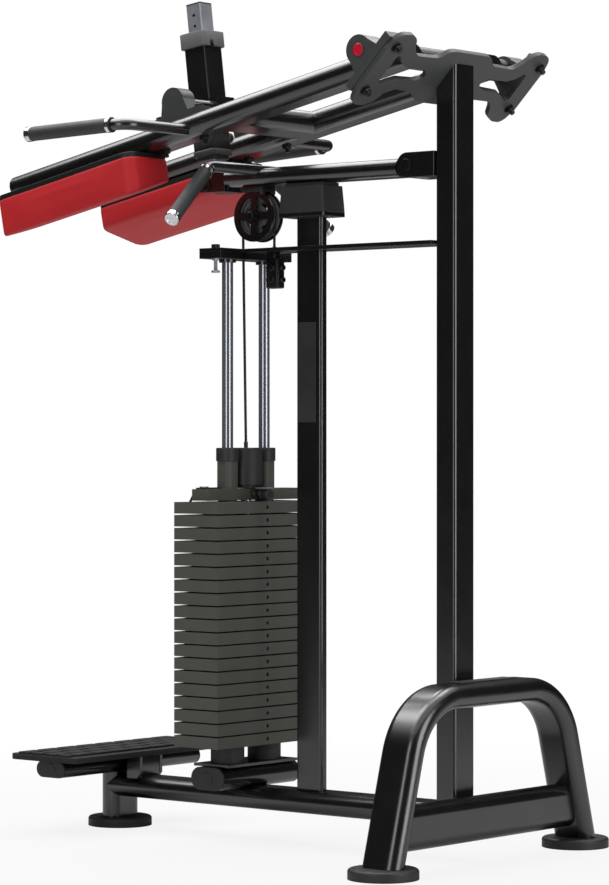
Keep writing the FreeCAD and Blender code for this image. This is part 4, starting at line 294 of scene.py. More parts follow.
FINISHES = {
    # Polyester powder coat, sprayed and baked: satin, with a faint orange peel that breaks up its gloss.
    Slot.FRAME_PAINT: Finish(
        "black_powder_coat", "#080808", "#050505", 0.25, ior=1.9, spread=0.02, grain=2.2, relief=0.01),
    # The same coat in dark grey on thick cut plate and cast blocks, a little flatter.
    Slot.GREY_PAINT: Finish("dark_grey_powder_coat", "#3d3e3e", "#353636", 0.45, grain=1.8, relief=0.025),
    # Moulded rubber mat: dull, with a fine stippled skin.
    Slot.STEP_RUBBER: Finish(
        "moulded_step_rubber", "#2b2c2c", "#222323", 0.8, ior=1.35, pattern=Pattern.STIPPLE, grain=2.4,
        relief=0.05),
    # Injection moulded nylon: satin, with a fine spark-eroded texture.
    Slot.BLACK_PLASTIC: Finish("black_nylon", "#292929", "#232323", 0.5, grain=1.2, relief=0.015),
    Slot.GREY_PLASTIC: Finish("grey_nylon", "#666666", "#5f5f5f", 0.5, grain=1.2, relief=0.015),
    # Polished ABS: clean gloss.
    Slot.RED_PLASTIC: Finish(
        "red_gloss_abs", "#c8102e", "#b80f28", 0.22, pattern=Pattern.SMOOTH, coat=0.3, coat_roughness=0.1),
    # Black oxide on steel bolts: dark, oily and uneven.
    Slot.DARK_STEEL: Finish(
        "black_oxide_steel", "#1c1c1c", "#101010", 0.3, spread=0.06, metallic=0.3, grain=1.0, relief=0.01,
        mottle=8.0),
    # Cured solid rubber: matt and charcoal.
    Slot.BLACK_RUBBER: Finish("solid_rubber", "#323334", "#2a2b2b", 0.6, grain=1.5, relief=0.03),
    # Extruded grip sleeve: matt, with a close stipple.
    Slot.GRIP_RUBBER: Finish(
        "stippled_grip_rubber", "#36383a", "#2d2f31", 0.6, pattern=Pattern.STIPPLE, grain=1.6, relief=0.12),
    # Bright chromium plate on turned steel.
    Slot.CHROME: Finish(
        "chrome_plate", "#e4e5e8", "#dcdde0", 0.12, spread=0.03, metallic=1.0, pattern=Pattern.SMOOTH),
    # Hard chromed and ground rod: slightly hazy along its length.
    Slot.ROD_STEEL: Finish(
        "ground_hard_chrome", "#adb0b9", "#a3a5ac", 0.14, spread=0.02, metallic=0.8, pattern=Pattern.SMOOTH),
    # Bright zinc plate on drawn tube: bluish and hazy.
    Slot.POST_STEEL: Finish(
        "zinc_plated_tube", "#c3c6cc", "#b4b7be", 0.42, metallic=0.85, pattern=Pattern.BRUSHED, grain=0.8,
        relief=0.004, anisotropic=0.2),
    # Painted steel plates: olive grey, flat and slightly gritty.
    Slot.PLATE_IRON: Finish(
        "olive_grey_plate_paint", "#4a4c44", "#44463e", 0.55, grain=1.4, relief=0.03, mottle=45.0),
    # Vinyl over foam: a fine pebbled grain with a soft gloss.
    Slot.RED_UPHOLSTERY: Finish(
        "red_upholstery_vinyl", "#be2026", "#b21c22", 0.5, ior=1.38, pattern=Pattern.LEATHER, grain=2.0,
        relief=0.06, mottle=120.0),
    # Black lacquer on plywood: deep black, a little open in its grain.
    Slot.BOARD_PAINT: Finish("black_lacquered_board", "#0d0d0d", "#090909", 0.5, grain=3.0, relief=0.02),
    # Nylon jacket over wire rope: smooth and dark.
    Slot.CABLE_JACKET: Finish("nylon_cable_jacket", "#161616", "#101010", 0.35, grain=1.0, relief=0.01),
}


@dataclass
class Workshop:
    """Finishes made so far, and the moves that every piece shares.

    Attributes:
        materials: The material of each slot that has been used.
    """

    materials: dict[Slot, bpy.types.Material] = field(default_factory=dict)

    def finish_of(self, slot: Slot) -> bpy.types.Material:
        """Make a slot's material, or find the one made before.

        Args:
            slot: The slot.

        Returns:
            Its material.
        """
        if slot not in self.materials:
            self.materials[slot] = FINISHES[slot].build()
        return self.materials[slot]

    def clear(self) -> None:
        """Leave edit mode and select nothing."""
        if bpy.context.object and bpy.context.object.mode != "OBJECT":
            bpy.ops.object.mode_set(mode="OBJECT")
        bpy.ops.object.select_all(action="DESELECT")

    def take(self, piece: bpy.types.Object) -> None:
        """Make one piece the only selected and the active one.

        Args:
            piece: The piece.
        """
        self.clear()
        piece.select_set(True)
        bpy.context.view_layer.objects.active = piece

    def place(self, piece: bpy.types.Object, where: Matrix) -> bpy.types.Object:
        """Set a piece down at its place and make that place part of its mesh.

        Args:
            piece: A piece modelled about the origin.
            where: The place, as a matrix.

        Returns:
            The same piece.
        """
        self.take(piece)
        piece.matrix_world = where
        bpy.ops.object.transform_apply(location=True, rotation=True, scale=True)
        return piece

    def round_edges(
        self, piece: bpy.types.Object, chosen: Callable[[Vector, Vector], bool], width: float,
        segments: int,
    ) -> None:
        """Round the sharp edges that are chosen.

        Args:
            piece: The piece.
            chosen: Says from an edge's direction and middle whether it is meant.
            width: The round's radius.
            segments: How many faces it gets.
        """
        self.take(piece)
        bpy.ops.object.mode_set(mode="EDIT")
        bpy.ops.mesh.select_mode(type="EDGE")
        bpy.ops.mesh.select_all(action="DESELECT")
        shape = bmesh.from_edit_mesh(piece.data)
        for edge in shape.edges:
            sharp = len(edge.link_faces) == 2 and edge.calc_face_angle(0) > SHARP_ANGLE
            way = (edge.verts[1].co - edge.verts[0].co).normalized()
            spot = (edge.verts[1].co + edge.verts[0].co) / 2
            edge.select_set(sharp and chosen(way, spot))
        bmesh.update_edit_mesh(piece.data)
        bpy.ops.mesh.bevel(offset=width, segments=segments, profile=0.5, clamp_overlap=True)
        bpy.ops.object.mode_set(mode="OBJECT")

    def turn_outward(self, piece: bpy.types.Object) -> None:
        """Make a closed piece's faces point outwards.

        Args:
            piece: The piece.
        """
        self.take(piece)
        bpy.ops.object.mode_set(mode="EDIT")
        bpy.ops.mesh.select_all(action="SELECT")
        bpy.ops.mesh.normals_make_consistent(inside=False)
        bpy.ops.object.mode_set(mode="OBJECT")

    def turned(
        self, profile: list[tuple[float, float]], sides: int = 32, flute: float = 1.0,
        open_bore: bool = False, corner: float = 0.0,
    ) -> bpy.types.Object:
        """Model a turned or square piece about Z from its profile.

        Args:
            profile: Radius and height of each step in millimetres, from its first end to its last.
            sides: How many sides it has.
            flute: Every second side corner's radius as a share, below one for a fluted piece.
            open_bore: Whether its two end faces open into a bore.
            corner: Corner radius of a square piece at its first step, whose radius is half its width.

        Returns:
            The piece at the origin.
        """
        self.clear()
        radius, height = profile[0]
        if corner:
            bpy.ops.mesh.primitive_plane_add(size=2 * radius * MM, location=(0, 0, height * MM))
        else:
            bpy.ops.mesh.primitive_circle_add(
                vertices=sides, radius=radius * MM, fill_type="NGON", location=(0, 0, height * MM))
        piece = bpy.context.object
        bpy.ops.object.transform_apply(location=True, rotation=False, scale=False)
        bpy.ops.object.mode_set(mode="EDIT")
        if corner:
            bpy.ops.mesh.select_all(action="SELECT")
            bpy.ops.mesh.bevel(
                offset=corner * MM, segments=CORNER_SEGMENTS, affect="VERTICES", clamp_overlap=True)
            sides = len(bmesh.from_edit_mesh(piece.data).verts)
        if flute < 1.0:
            bpy.ops.mesh.select_mode(type="VERT")
            bpy.ops.mesh.select_all(action="DESELECT")
            shape = bmesh.from_edit_mesh(piece.data)
            for index, vertex in enumerate(shape.verts):
                vertex.select_set(index % 2 == 0)
            bmesh.update_edit_mesh(piece.data)
            bpy.ops.transform.resize(value=(flute, flute, 1), center_override=(0, 0, height * MM))
        bpy.ops.mesh.select_mode(type="FACE")
        bpy.ops.mesh.select_all(action="SELECT")
        for next_radius, next_height in profile[1:]:
            bpy.ops.mesh.extrude_region_move(
                TRANSFORM_OT_translate={"value": (0, 0, (next_height - height) * MM)})
            share = next_radius / radius
            bpy.ops.transform.resize(value=(share, share, 1), center_override=(0, 0, next_height * MM))
            radius, height = next_radius, next_height
        if open_bore:
            bpy.ops.mesh.select_all(action="DESELECT")
            shape = bmesh.from_edit_mesh(piece.data)
            for face in shape.faces:
                face.select_set(len(face.verts) == sides)
            bmesh.update_edit_mesh(piece.data)
            bpy.ops.mesh.bridge_edge_loops()
        bpy.ops.mesh.select_all(action="SELECT")
        bpy.ops.mesh.normals_make_consistent(inside=False)
        bpy.ops.object.mode_set(mode="OBJECT")
        return piece

    def block(
        self, size: Vector, middle: Vector, corner: float = 0.0, edge: float = 0.0, segments: int = 3,
    ) -> bpy.types.Object:
        """Model a block with round upright corners and soft edges.

        Args:
            size: Its size in millimetres.
            middle: Its middle in millimetres.
            corner: Radius of its upright corners in millimetres.
            edge: Radius of its other edges in millimetres.
            segments: How many faces each round gets.

        Returns:
            The block.
        """
        self.clear()
        bpy.ops.mesh.primitive_cube_add(size=1.0)
        piece = bpy.context.object
        piece.scale = size * MM
        piece.location = middle * MM
        bpy.ops.object.transform_apply(location=True, rotation=False, scale=True)
        if corner:
            self.round_edges(piece, lambda way, spot: abs(way.z) > NEARLY_ONE, corner * MM, segments)
        if edge:
            self.round_edges(piece, lambda way, spot: abs(way.z) < NEARLY_ONE, edge * MM, 2)
        return piece

    def cut(self, piece: bpy.types.Object, cutter: bpy.types.Object) -> None:
        """Take a cutter's shape out of a piece; the cutter is used up.

        Args:
            piece: The piece that is cut.
            cutter: The shape to take away.
        """
        self.take(piece)
        notch = piece.modifiers.new("notch", "BOOLEAN")
        notch.operation = "DIFFERENCE"
        notch.object = cutter
        notch.solver = "EXACT"
        bpy.ops.object.modifier_apply(modifier="notch")
        bpy.data.objects.remove(cutter)

    def join(self, pieces: list[bpy.types.Object]) -> bpy.types.Object:
        """Join pieces of one finish into one object.

        Args:
            pieces: The pieces, of which the first takes in the others.

        Returns:
            The joined object.
        """
        self.take(pieces[0])
        for piece in pieces:
            piece.select_set(True)
        bpy.ops.object.join()
        return bpy.context.object

    def copies(self, piece: bpy.types.Object, places: list[Matrix]) -> bpy.types.Object:
        """Set a copy of a piece at each place and join them; the first piece is used up.

        Args:
            piece: The piece about the origin.
            places: Where its copies go.

        Returns:
            The joined copies.
        """
        made = []
        for where in places:
            self.take(piece)
            bpy.ops.object.duplicate()
            made.append(self.place(bpy.context.object, where))
        bpy.data.objects.remove(piece)
        return self.join(made)

    def hand_over(
        self, piece: bpy.types.Object, name: str, slot: Slot, body: str | None, *stands_for: str,
        angle: float = 35.0,
    ) -> bpy.types.Object:
        """Shade a shaped piece, name it, give it its finish and fix it to its body.

        Args:
            piece: The shaped piece.
            name: Its name.
            slot: The finish it gets.
            body: The body it rides on, or None for a piece that rides on no body.
            stands_for: Nodes that it replaces.
            angle: Degrees past which an edge stays sharp in the shading.

        Returns:
            The same piece.
        """
        self.take(piece)
        bpy.ops.object.shade_smooth_by_angle(angle=math.radians(angle))
        self.clear()
        piece.name = name
        piece.data.name = name
        piece.data.materials.clear()
        piece.data.materials.append(self.finish_of(slot))
        if body:
            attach(piece, body)
        if stands_for:
            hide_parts(*stands_for)
        LOG.info("%s rides on %s, %d faces", name, body, len(piece.data.polygons))
        return piece


SHOP = Workshop()


def box_mm(name: str) -> tuple[Vector, Vector]:
    """The lowest and highest corners of a node at rest, in millimetres."""
    low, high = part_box(name)
    return Vector(low) / MM, Vector(high) / MM


def upright_at(origin: Vector, axis: Vector, across: Vector) -> Matrix:
    """Work out a place whose Z runs along an axis and whose X lies near a given direction.

    Args:
        origin: Where the place is, in metres.
        axis: The direction of its Z.
        across: The direction that its X lies near.

    Returns:
        The place, as a matrix.
    """
    z = axis.normalized()
    x = (across - z * across.dot(z)).normalized()
    y = z.cross(x)
    turn = Matrix((x, y, z)).transposed().to_4x4()
    return Matrix.Translation(origin) @ turn


def solids_of(name: str) -> list[list[Vector]]:
    """Split a node into its separate solids.

    Args:
        name: The node.

    Returns:
        The corner points of each solid, in the mesh's own order.
    """
    shape = bmesh.new()
    shape.from_mesh(frame["nodes"][name].data)
    bmesh.ops.remove_doubles(shape, verts=shape.verts, dist=MERGE_DISTANCE)
    groups = []
    for first in shape.verts:
        if first.tag:
            continue
        first.tag = True
        waiting = [first]
        points = []
        while waiting:
            corner = waiting.pop()
            points.append(corner.co.copy())
            for edge in corner.link_edges:
                other = edge.other_vert(corner)
                if not other.tag:
                    other.tag = True
                    waiting.append(other)
        groups.append(points)
    shape.free()
    return groups


@dataclass(frozen=True)
class Line:
    """The middle line of a straight solid.

    Attributes:
        start: Where it starts.
        end: Where it ends.
        radius: The solid's largest distance from it.
    """

    start: Vector
    end: Vector
    radius: float

    @property
    def axis(self) -> Vector:
        """Its direction."""
        return (self.end - self.start).normalized()


def long_axis(points: list[Vector]) -> Vector:
    """Find the direction in which a long solid reaches furthest.

    Args:
        points: The solid's corner points.

    Returns:
        The direction, pointing away from the machine's middle plane.
    """
    table = numpy.array([tuple(p) for p in points])
    _, _, rows = numpy.linalg.svd(table - table.mean(axis=0), full_matrices=False)
    axis = Vector(rows[0])
    middle = table.mean(axis=0)[0]
    return axis if axis.x * middle >= 0 else -axis


def line_through(points: list[Vector], axis: Vector) -> Line:
    """Find the middle line of a solid along a known direction.

    Args:
        points: The solid's corner points.
        axis: Its direction.

    Returns:
        Its middle line.
    """
    upright = abs(axis.normalized().z) >= STEEP
    place = upright_at(Vector(), axis, X_AXIS if upright else Z_AXIS)
    turned = [place.inverted() @ p for p in points]
    low = [min(p[i] for p in turned) for i in range(3)]
    high = [max(p[i] for p in turned) for i in range(3)]
    x, y = (low[0] + high[0]) / 2, (low[1] + high[1]) / 2
    radius = max(math.hypot(p.x - x, p.y - y) for p in turned)
    return Line(place @ Vector((x, y, low[2])), place @ Vector((x, y, high[2])), radius)


@dataclass
class CarriedNodes:
    """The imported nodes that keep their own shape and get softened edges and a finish.

    Attributes:
        edge_width: Width of the softened edge.
        flat_angle: Largest bend, in degrees, that counts as flat.
        edge_angle: Smallest bend, in degrees, that gets a soft edge.
        own_finish: Nodes that get another finish than their record's slot names.
    """

    edge_width: float = 1.0 * MM
    flat_angle: float = 0.6
    edge_angle: float = 32.0
    own_finish: dict[str, Slot] = field(default_factory=lambda: {"pad_boards": Slot.BOARD_PAINT})

    def soften(self, node: bpy.types.Object) -> None:
        """Add the modifiers that round a node's sharp edges.

        Args:
            node: The node's object.
        """
        merge = node.modifiers.new("merge", "WELD")
        merge.merge_threshold = MERGE_DISTANCE
        flat = node.modifiers.new("flat", "DECIMATE")
        flat.decimate_type = "DISSOLVE"
        flat.angle_limit = math.radians(self.flat_angle)
        edge = node.modifiers.new("edge", "BEVEL")
        edge.width = self.edge_width
        edge.segments = 2
        edge.limit_method = "ANGLE"
        edge.angle_limit = math.radians(self.edge_angle)
        edge.miter_outer = "MITER_ARC"
        normals = node.modifiers.new("normals", "WEIGHTED_NORMAL")
        normals.keep_sharp = False

    def dress(self) -> None:
        """Soften every node and give it its finish."""
        slots = {row["node"]: Slot(row["material_slot"]) for row in frame["record"]["subparts"]}
        slots.update(self.own_finish)
        for name, node in frame["nodes"].items():
            self.soften(node)
            node.data.materials.clear()
            node.data.materials.append(SHOP.finish_of(slots[name]))
            LOG.info("%s is softened, finish %s", name, slots[name].value)


@dataclass
class ShoulderPads:
    """The two foam pads under the boards, with their vinyl skin drawn tight.

    Attributes:
        middle: Distance of a pad's middle from the machine's middle plane.
        width: Its width across.
        rear: Where it starts along the arms, from the press pivot.
        front: Where it ends.
        top: Its top, measured up from the arms' line.
        inner_depth: Its depth at its inner side.
        outer_depth: Its depth at its outer side.
        corner_radius: Radius of its corners in plan.
        top_radius: Radius of its edges against the board.
        edge_radius: Radius of its other soft edges.
        slack: How far inside the finished skin the foam starts.
        voxel: Size of the remeshed skin's squares.
        pressure: Pressure that draws the skin tight.
        stiffness: How little the skin stretches.
        bending: Its stiffness in bending, as a share of that.
        cap: Furthest that a point of the skin may move.
        frames: Steps that the cloth takes.
        fill: How tight the finished pad is, from 0 to 1; not used.
    """

    middle: float = 169.0 * MM
    width: float = 145.0 * MM
    rear: float = 699.0 * MM
    front: float = 1127.0 * MM
    top: float = -37.4 * MM
    inner_depth: float = 51.0 * MM
    outer_depth: float = 90.0 * MM
    corner_radius: float = 30.0 * MM
    top_radius: float = 3.0 * MM
    edge_radius: float = 7.0 * MM
    slack: float = 1.5 * MM
    voxel: float = 4.0 * MM
    pressure: float = 0.7
    stiffness: float = 60.0
    bending: float = 0.25
    cap: float = 3.0 * MM
    frames: int = 20
    fill: float = 0.9

    def foam(self) -> bpy.types.Object:
        """Model one pad's foam about the pivot, X out, Y towards the rear and Z up.

        Returns:
            The foam block, a little smaller than the finished pad.
        """
        length = self.front - self.rear
        size = Vector((self.width, length, self.outer_depth)) - Vector((2, 2, 1)) * self.slack
        SHOP.clear()
        bpy.ops.mesh.primitive_cube_add(size=1.0, location=(0, 0, -size.z / 2))
        pad = bpy.context.object
        pad.scale = size
        bpy.ops.object.transform_apply(location=True, rotation=False, scale=True)
        low = -(self.inner_depth - self.slack)
        for corner in pad.data.vertices:
            if corner.co.z < -self.inner_depth / 2 and corner.co.x < 0:
                corner.co.z = low
        SHOP.round_edges(pad, lambda way, spot: abs(way.z) > NEARLY_ONE, self.corner_radius - self.slack, 8)
        middle = -self.inner_depth / 2
        for radius, side, segments in ((self.top_radius, 1, 3), (self.edge_radius, -1, 5)):
            SHOP.round_edges(
                pad, lambda way, spot: abs(way.z) < NEARLY_ONE and (spot.z - middle) * side > 0,
                radius, segments)
        return pad

    def tighten(self, pad: bpy.types.Object) -> None:
        """Inflate the skin a little, hold it flat against the board and divide it once more.

        Args:
            pad: The foam block, which becomes the pad.
        """
        SHOP.take(pad)
        mesh_again = pad.modifiers.new("skin", "REMESH")
        mesh_again.mode = "VOXEL"
        mesh_again.voxel_size = self.voxel
        bpy.ops.object.modifier_apply(modifier="skin")
        before = [corner.co.copy() for corner in pad.data.vertices]
        cloth = pad.modifiers.new("vinyl", "CLOTH")
        cloth.settings.use_pressure = True
        cloth.settings.uniform_pressure_force = self.pressure
        cloth.settings.effector_weights.gravity = 0.0
        cloth.settings.tension_stiffness = self.stiffness
        cloth.settings.compression_stiffness = self.stiffness
        cloth.settings.bending_stiffness = self.stiffness * self.bending
        cloth.point_cache.frame_start = 1
        cloth.point_cache.frame_end = self.frames
        for step in range(1, self.frames + 1):
            bpy.context.scene.frame_set(step)
        bpy.ops.object.modifier_apply(modifier="vinyl")
        bpy.context.scene.frame_set(1)
        for corner, start in zip(pad.data.vertices, before):
            move = corner.co - start
            if move.length > self.cap:
                corner.co = start + move.normalized() * self.cap
            corner.co.z = min(corner.co.z, 0.0)
        soft = pad.modifiers.new("soft", "SUBSURF")
        soft.levels = soft.render_levels = 1
        bpy.ops.object.modifier_apply(modifier="soft")

    def build(self) -> None:
        """Make both pads and set them under their boards."""
        right = self.foam()
        self.tighten(right)
        for name, side in (("pad_right", 1), ("pad_left", -1)):
            SHOP.take(right)
            bpy.ops.object.duplicate()
            pad = bpy.context.object
            place = Matrix((X_AXIS, -ARM_FORWARD, ARM_UP)).transposed().to_4x4()
            spot = ARM_PIVOT + ARM_FORWARD * ((self.rear + self.front) / 2) + ARM_UP * self.top
            place = Matrix.Translation(spot + X_AXIS * (side * self.middle)) @ place
            SHOP.place(pad, place @ Matrix.Diagonal((side, 1, 1, 1)))
            if side < 0:
                SHOP.turn_outward(pad)
            SHOP.hand_over(pad, "shoulder_" + name, Slot.RED_UPHOLSTERY, "press_arm", name, angle=180.0)
        bpy.data.objects.remove(right)


@dataclass
class HandleTrim:
    """The grips, with their chrome rings, end caps and black flanges.

    Attributes:
        ring_length: Length of a ring before its grip, in millimetres like all sizes here.
        ring_radius: Outer radius of the ring and the end cap.
        tube_radius: Radius of the handle's tube.
        cap_length: Length of an end cap.
        grip_radius: Radius of a grip.
        flange_length: Length of the flange before a ring.
        flutes: Number of corners round a grip, every second one cut back.
        flute_depth: Radius of those as a share of the grip's.
        grip_angle: Degrees past which an edge of a grip stays sharp in the shading.
        sides: Number of sides of the round pieces.
    """

    ring_length: float = 9.0
    ring_radius: float = 16.75
    tube_radius: float = 12.7
    cap_length: float = 14.0
    grip_radius: float = 16.0
    flange_length: float = 3.0
    flutes: int = 56
    flute_depth: float = 0.975
    grip_angle: float = 60.0
    sides: int = 40

    def grip(self, length: float) -> bpy.types.Object:
        """Model one fluted rubber sleeve from its ring to its cap.

        Args:
            length: Its length.

        Returns:
            The sleeve at the origin.
        """
        r = self.grip_radius
        profile = [
            (self.tube_radius, 0), (r - 0.9, 0), (r - 0.2, 0.6), (r, 1.8),
            (r, length - 1.8), (r - 0.2, length - 0.6), (r - 0.9, length), (self.tube_radius, length),
        ]
        return SHOP.turned(profile, self.flutes, flute=self.flute_depth, open_bore=True)

    def ring(self) -> bpy.types.Object:
        """Model one chrome ring with a groove round it, before the grip's start.

        Returns:
            The ring at the origin.
        """
        r, low = self.ring_radius, -self.ring_length
        profile = [
            (self.tube_radius, low), (r - 0.6, low), (r, low + 0.6), (r, low + 2.2), (r - 0.5, low + 2.6),
            (r - 0.5, low + 3.2), (r, low + 3.6), (r, -0.6), (r - 0.6, 0), (self.tube_radius, 0),
        ]
        return SHOP.turned(profile, self.sides, open_bore=True)

    def cap(self) -> bpy.types.Object:
        """Model one chrome end cap with a round recess in its face.

        Returns:
            The cap at the origin.
        """
        r, top = self.ring_radius, self.cap_length
        profile = [
            (r - 0.6, 0), (r, 0.6), (r, top - 2.4), (r - 0.5, top - 1.2), (r - 1.4, top - 0.4),
            (r - 2.6, top), (r * 0.62, top), (r * 0.59, top - 0.8), (r * 0.3, top - 0.8),
            (r * 0.27, top - 0.4),
        ]
        return SHOP.turned(profile, self.sides)

    def flange(self) -> bpy.types.Object:
        """Model one black flange on the tube's side of a ring.

        Returns:
            The flange at the origin.
        """
        low = -self.ring_length - self.flange_length
        high = -self.ring_length
        r = self.ring_radius + 0.25
        profile = [
            (self.tube_radius, low), (r - 0.8, low), (r, low + 0.8), (r, high), (self.tube_radius, high)]
        return SHOP.turned(profile, self.sides, open_bore=True)

    def build(self) -> None:
        """Make every handle's trim and set it on its grip's line."""
        for level, body in (("upper", "press_arm"), ("lower", "weight_arm")):
            lines = []
            for points in solids_of(level + "_grips"):
                lines.append(line_through(points, long_axis(points)))
            starts = [upright_at(line.start, line.axis, Z_AXIS) for line in lines]
            ends = [upright_at(line.end, line.axis, Z_AXIS) for line in lines]
            length = (lines[0].end - lines[0].start).length / MM
            grips = SHOP.copies(self.grip(length), starts)
            SHOP.hand_over(
                grips, level + "_grip_sleeves", Slot.GRIP_RUBBER, body, level + "_grips",
                angle=self.grip_angle)
            chrome = SHOP.join([SHOP.copies(self.ring(), starts), SHOP.copies(self.cap(), ends)])
            SHOP.hand_over(chrome, level + "_grip_chrome", Slot.CHROME, body, level + "_grip_ends")
            flanges = SHOP.copies(self.flange(), starts)
            SHOP.hand_over(flanges, level + "_grip_flanges", Slot.BLACK_PLASTIC, body)


@dataclass
class Bolts:
    """The hexagon bolts through the housings' feet, and the boards' screws.

    Attributes:
        head_height: Height of a bolt's head on its seat, in millimetres like all sizes here.
        tail: How far a bolt's thread reaches past its nut's seat.
        across_corners: Radius to the corners of heads and nuts.
        thread_radius: Outer radius of the thread.
        thread_depth: Depth of the thread.
        pitch: Pitch of the thread.
        washer_radius: Radius of a washer.
        washer: Thickness of a washer.
        long_bolt: Least length of a solid that is a through bolt.
        thread_past: How much further the modelled thread reaches than the tail.
    """

    head_height: float = 8.0
    tail: float = 11.2
    across_corners: float = 10.97
    thread_radius: float = 6.0
    thread_depth: float = 0.7
    pitch: float = 1.75
    washer_radius: float = 12.0
    washer: float = 2.0
    long_bolt: float = 40.0
    thread_past: float = 5.0

    def washer_disc(self) -> bpy.types.Object:
        """Model one washer from its seat up."""
        r, top, bevel = self.washer_radius, self.washer, 0.3
        return SHOP.turned([(r - bevel, 0), (r, bevel), (r, top - bevel), (r - bevel, top)], 28)

    def hexagon(self, low: float, high: float) -> bpy.types.Object:
        """Model a head or nut with chamfered corners.

        Args:
            low: Height of its lower face.
            high: Height of its upper face.

        Returns:
            The head or nut on the Z axis.
        """
        r = self.across_corners
        profile = [(r - 1.0, low), (r, low + 0.7), (r, high - 1.1), (r - 1.5, high), (r * 0.66, high)]
        return SHOP.turned(profile, 6)

    def thread(self, low: float, high: float) -> bpy.types.Object:
        """Model a thread's end as its ridges, with a chamfered tip.

        Args:
            low: Height where it starts.
            high: Height of its tip.

        Returns:
            The thread on the Z axis.
        """
        r = self.thread_radius
        profile = [(r, low)]
        height = low
        while height + self.pitch < high - 0.8:
            profile += [(r - self.thread_depth, height + self.pitch / 2), (r, height + self.pitch)]
            height += self.pitch
        profile += [(r - 1.0, high)]
        return SHOP.turned(profile, 20)

    def bolt(self, grip: float) -> bpy.types.Object:
        """Model a whole bolt along Z, with its head below the origin and its nut past the grip.

        Args:
            grip: Thickness of what it holds together.

        Returns:
            The bolt with both washers.
        """
        head = SHOP.join([self.washer_disc(), self.hexagon(self.washer, self.head_height)])
        SHOP.place(head, Matrix.Rotation(math.pi, 4, "X"))
        tip = self.tail + self.thread_past
        nut = SHOP.join([
            self.washer_disc(), self.hexagon(self.washer, self.head_height),
            self.thread(self.head_height, tip)])
        SHOP.place(nut, Matrix.Translation(Z_AXIS * grip * MM))
        radius = self.thread_radius - 0.05
        shank = SHOP.turned([(radius, 0), (radius, grip)], 20)
        return SHOP.join([head, nut, shank])

    def screw(self, height: float, radius: float) -> bpy.types.Object:
        """Model one button-head screw with a socket, from its seat up.

        Args:
            height: Height of its head.
            radius: Radius of its head.

        Returns:
            The screw's head at the origin.
        """
        profile = [
            (radius, 0), (radius, height * 0.3), (radius * 0.93, height * 0.62),
            (radius * 0.76, height * 0.9), (radius * 0.55, height), (radius * 0.42, height),
            (radius * 0.4, height * 0.45),
        ]
        return SHOP.turned(profile, 24)

    def build(self) -> None:
        """Make every bolt and screw at the place of its solid."""
        for node, body, way in (
            ("bracket_bolts", "frame", -BRACKET_OUT), ("arm_bolts", "press_arm", -ARM_UP),
        ):
            lines = [line_through(points, way) for points in solids_of(node)]
            long_lines = [x for x in lines if (x.end - x.start).length > self.long_bolt * MM]
            short_lines = [x for x in lines if x not in long_lines]
            grip = (long_lines[0].end - long_lines[0].start).length / MM - self.head_height - self.tail
            places = [
                upright_at(x.start + x.axis * self.head_height * MM, x.axis, X_AXIS) for x in long_lines]
            pieces = [SHOP.copies(self.bolt(grip), places)]
            for line in short_lines:
                height = (line.end - line.start).length / MM
                spot = upright_at(line.end, -line.axis, X_AXIS)
                pieces.append(SHOP.place(self.screw(height, line.radius / MM), spot))
            joined = SHOP.join(pieces)
            SHOP.hand_over(joined, node + "_detailed", Slot.DARK_STEEL, body, node)


@dataclass
class BearingCaps:
    """The red plugs at the upper pivot's ends, each in a black ring.

    Attributes:
        face_radius: Radius of the red face, in millimetres like all sizes here.
        ring_radius: Outer radius of the black ring.
        depth: Depth of both.
        sides: Number of sides of both.
    """

    face_radius: float = 13.2
    ring_radius: float = 15.0
    depth: float = 4.0
    sides: int = 48

    def build(self) -> None:
        """Make both plugs and rings at the CAD plugs' places."""
        places = []
        for points in solids_of("bearing_caps"):
            side = 1 if points[0].x > 0 else -1
            line = line_through(points, X_AXIS * side)
            places.append(upright_at(line.start, line.axis, Z_AXIS))
        r, top = self.face_radius, self.depth
        plug = SHOP.turned(
            [(r, 0), (r, top - 0.8), (r - 0.5, top - 0.2), (r - 1.2, top), (r * 0.72, top),
             (r * 0.7, top - 0.4)], self.sides)
        plugs = SHOP.copies(plug, places)
        SHOP.hand_over(plugs, "bearing_cap_plugs", Slot.RED_PLASTIC, "frame", "bearing_caps")
        outer = self.ring_radius
        ring = SHOP.turned(
            [(r + 0.1, 0), (outer, 0), (outer, top - 1.2), (outer - 0.5, top - 0.6), (r + 0.1, top - 0.6)],
            self.sides, open_bore=True)
        rings = SHOP.copies(ring, places)
        SHOP.hand_over(rings, "bearing_cap_rings", Slot.BLACK_PLASTIC, "frame")


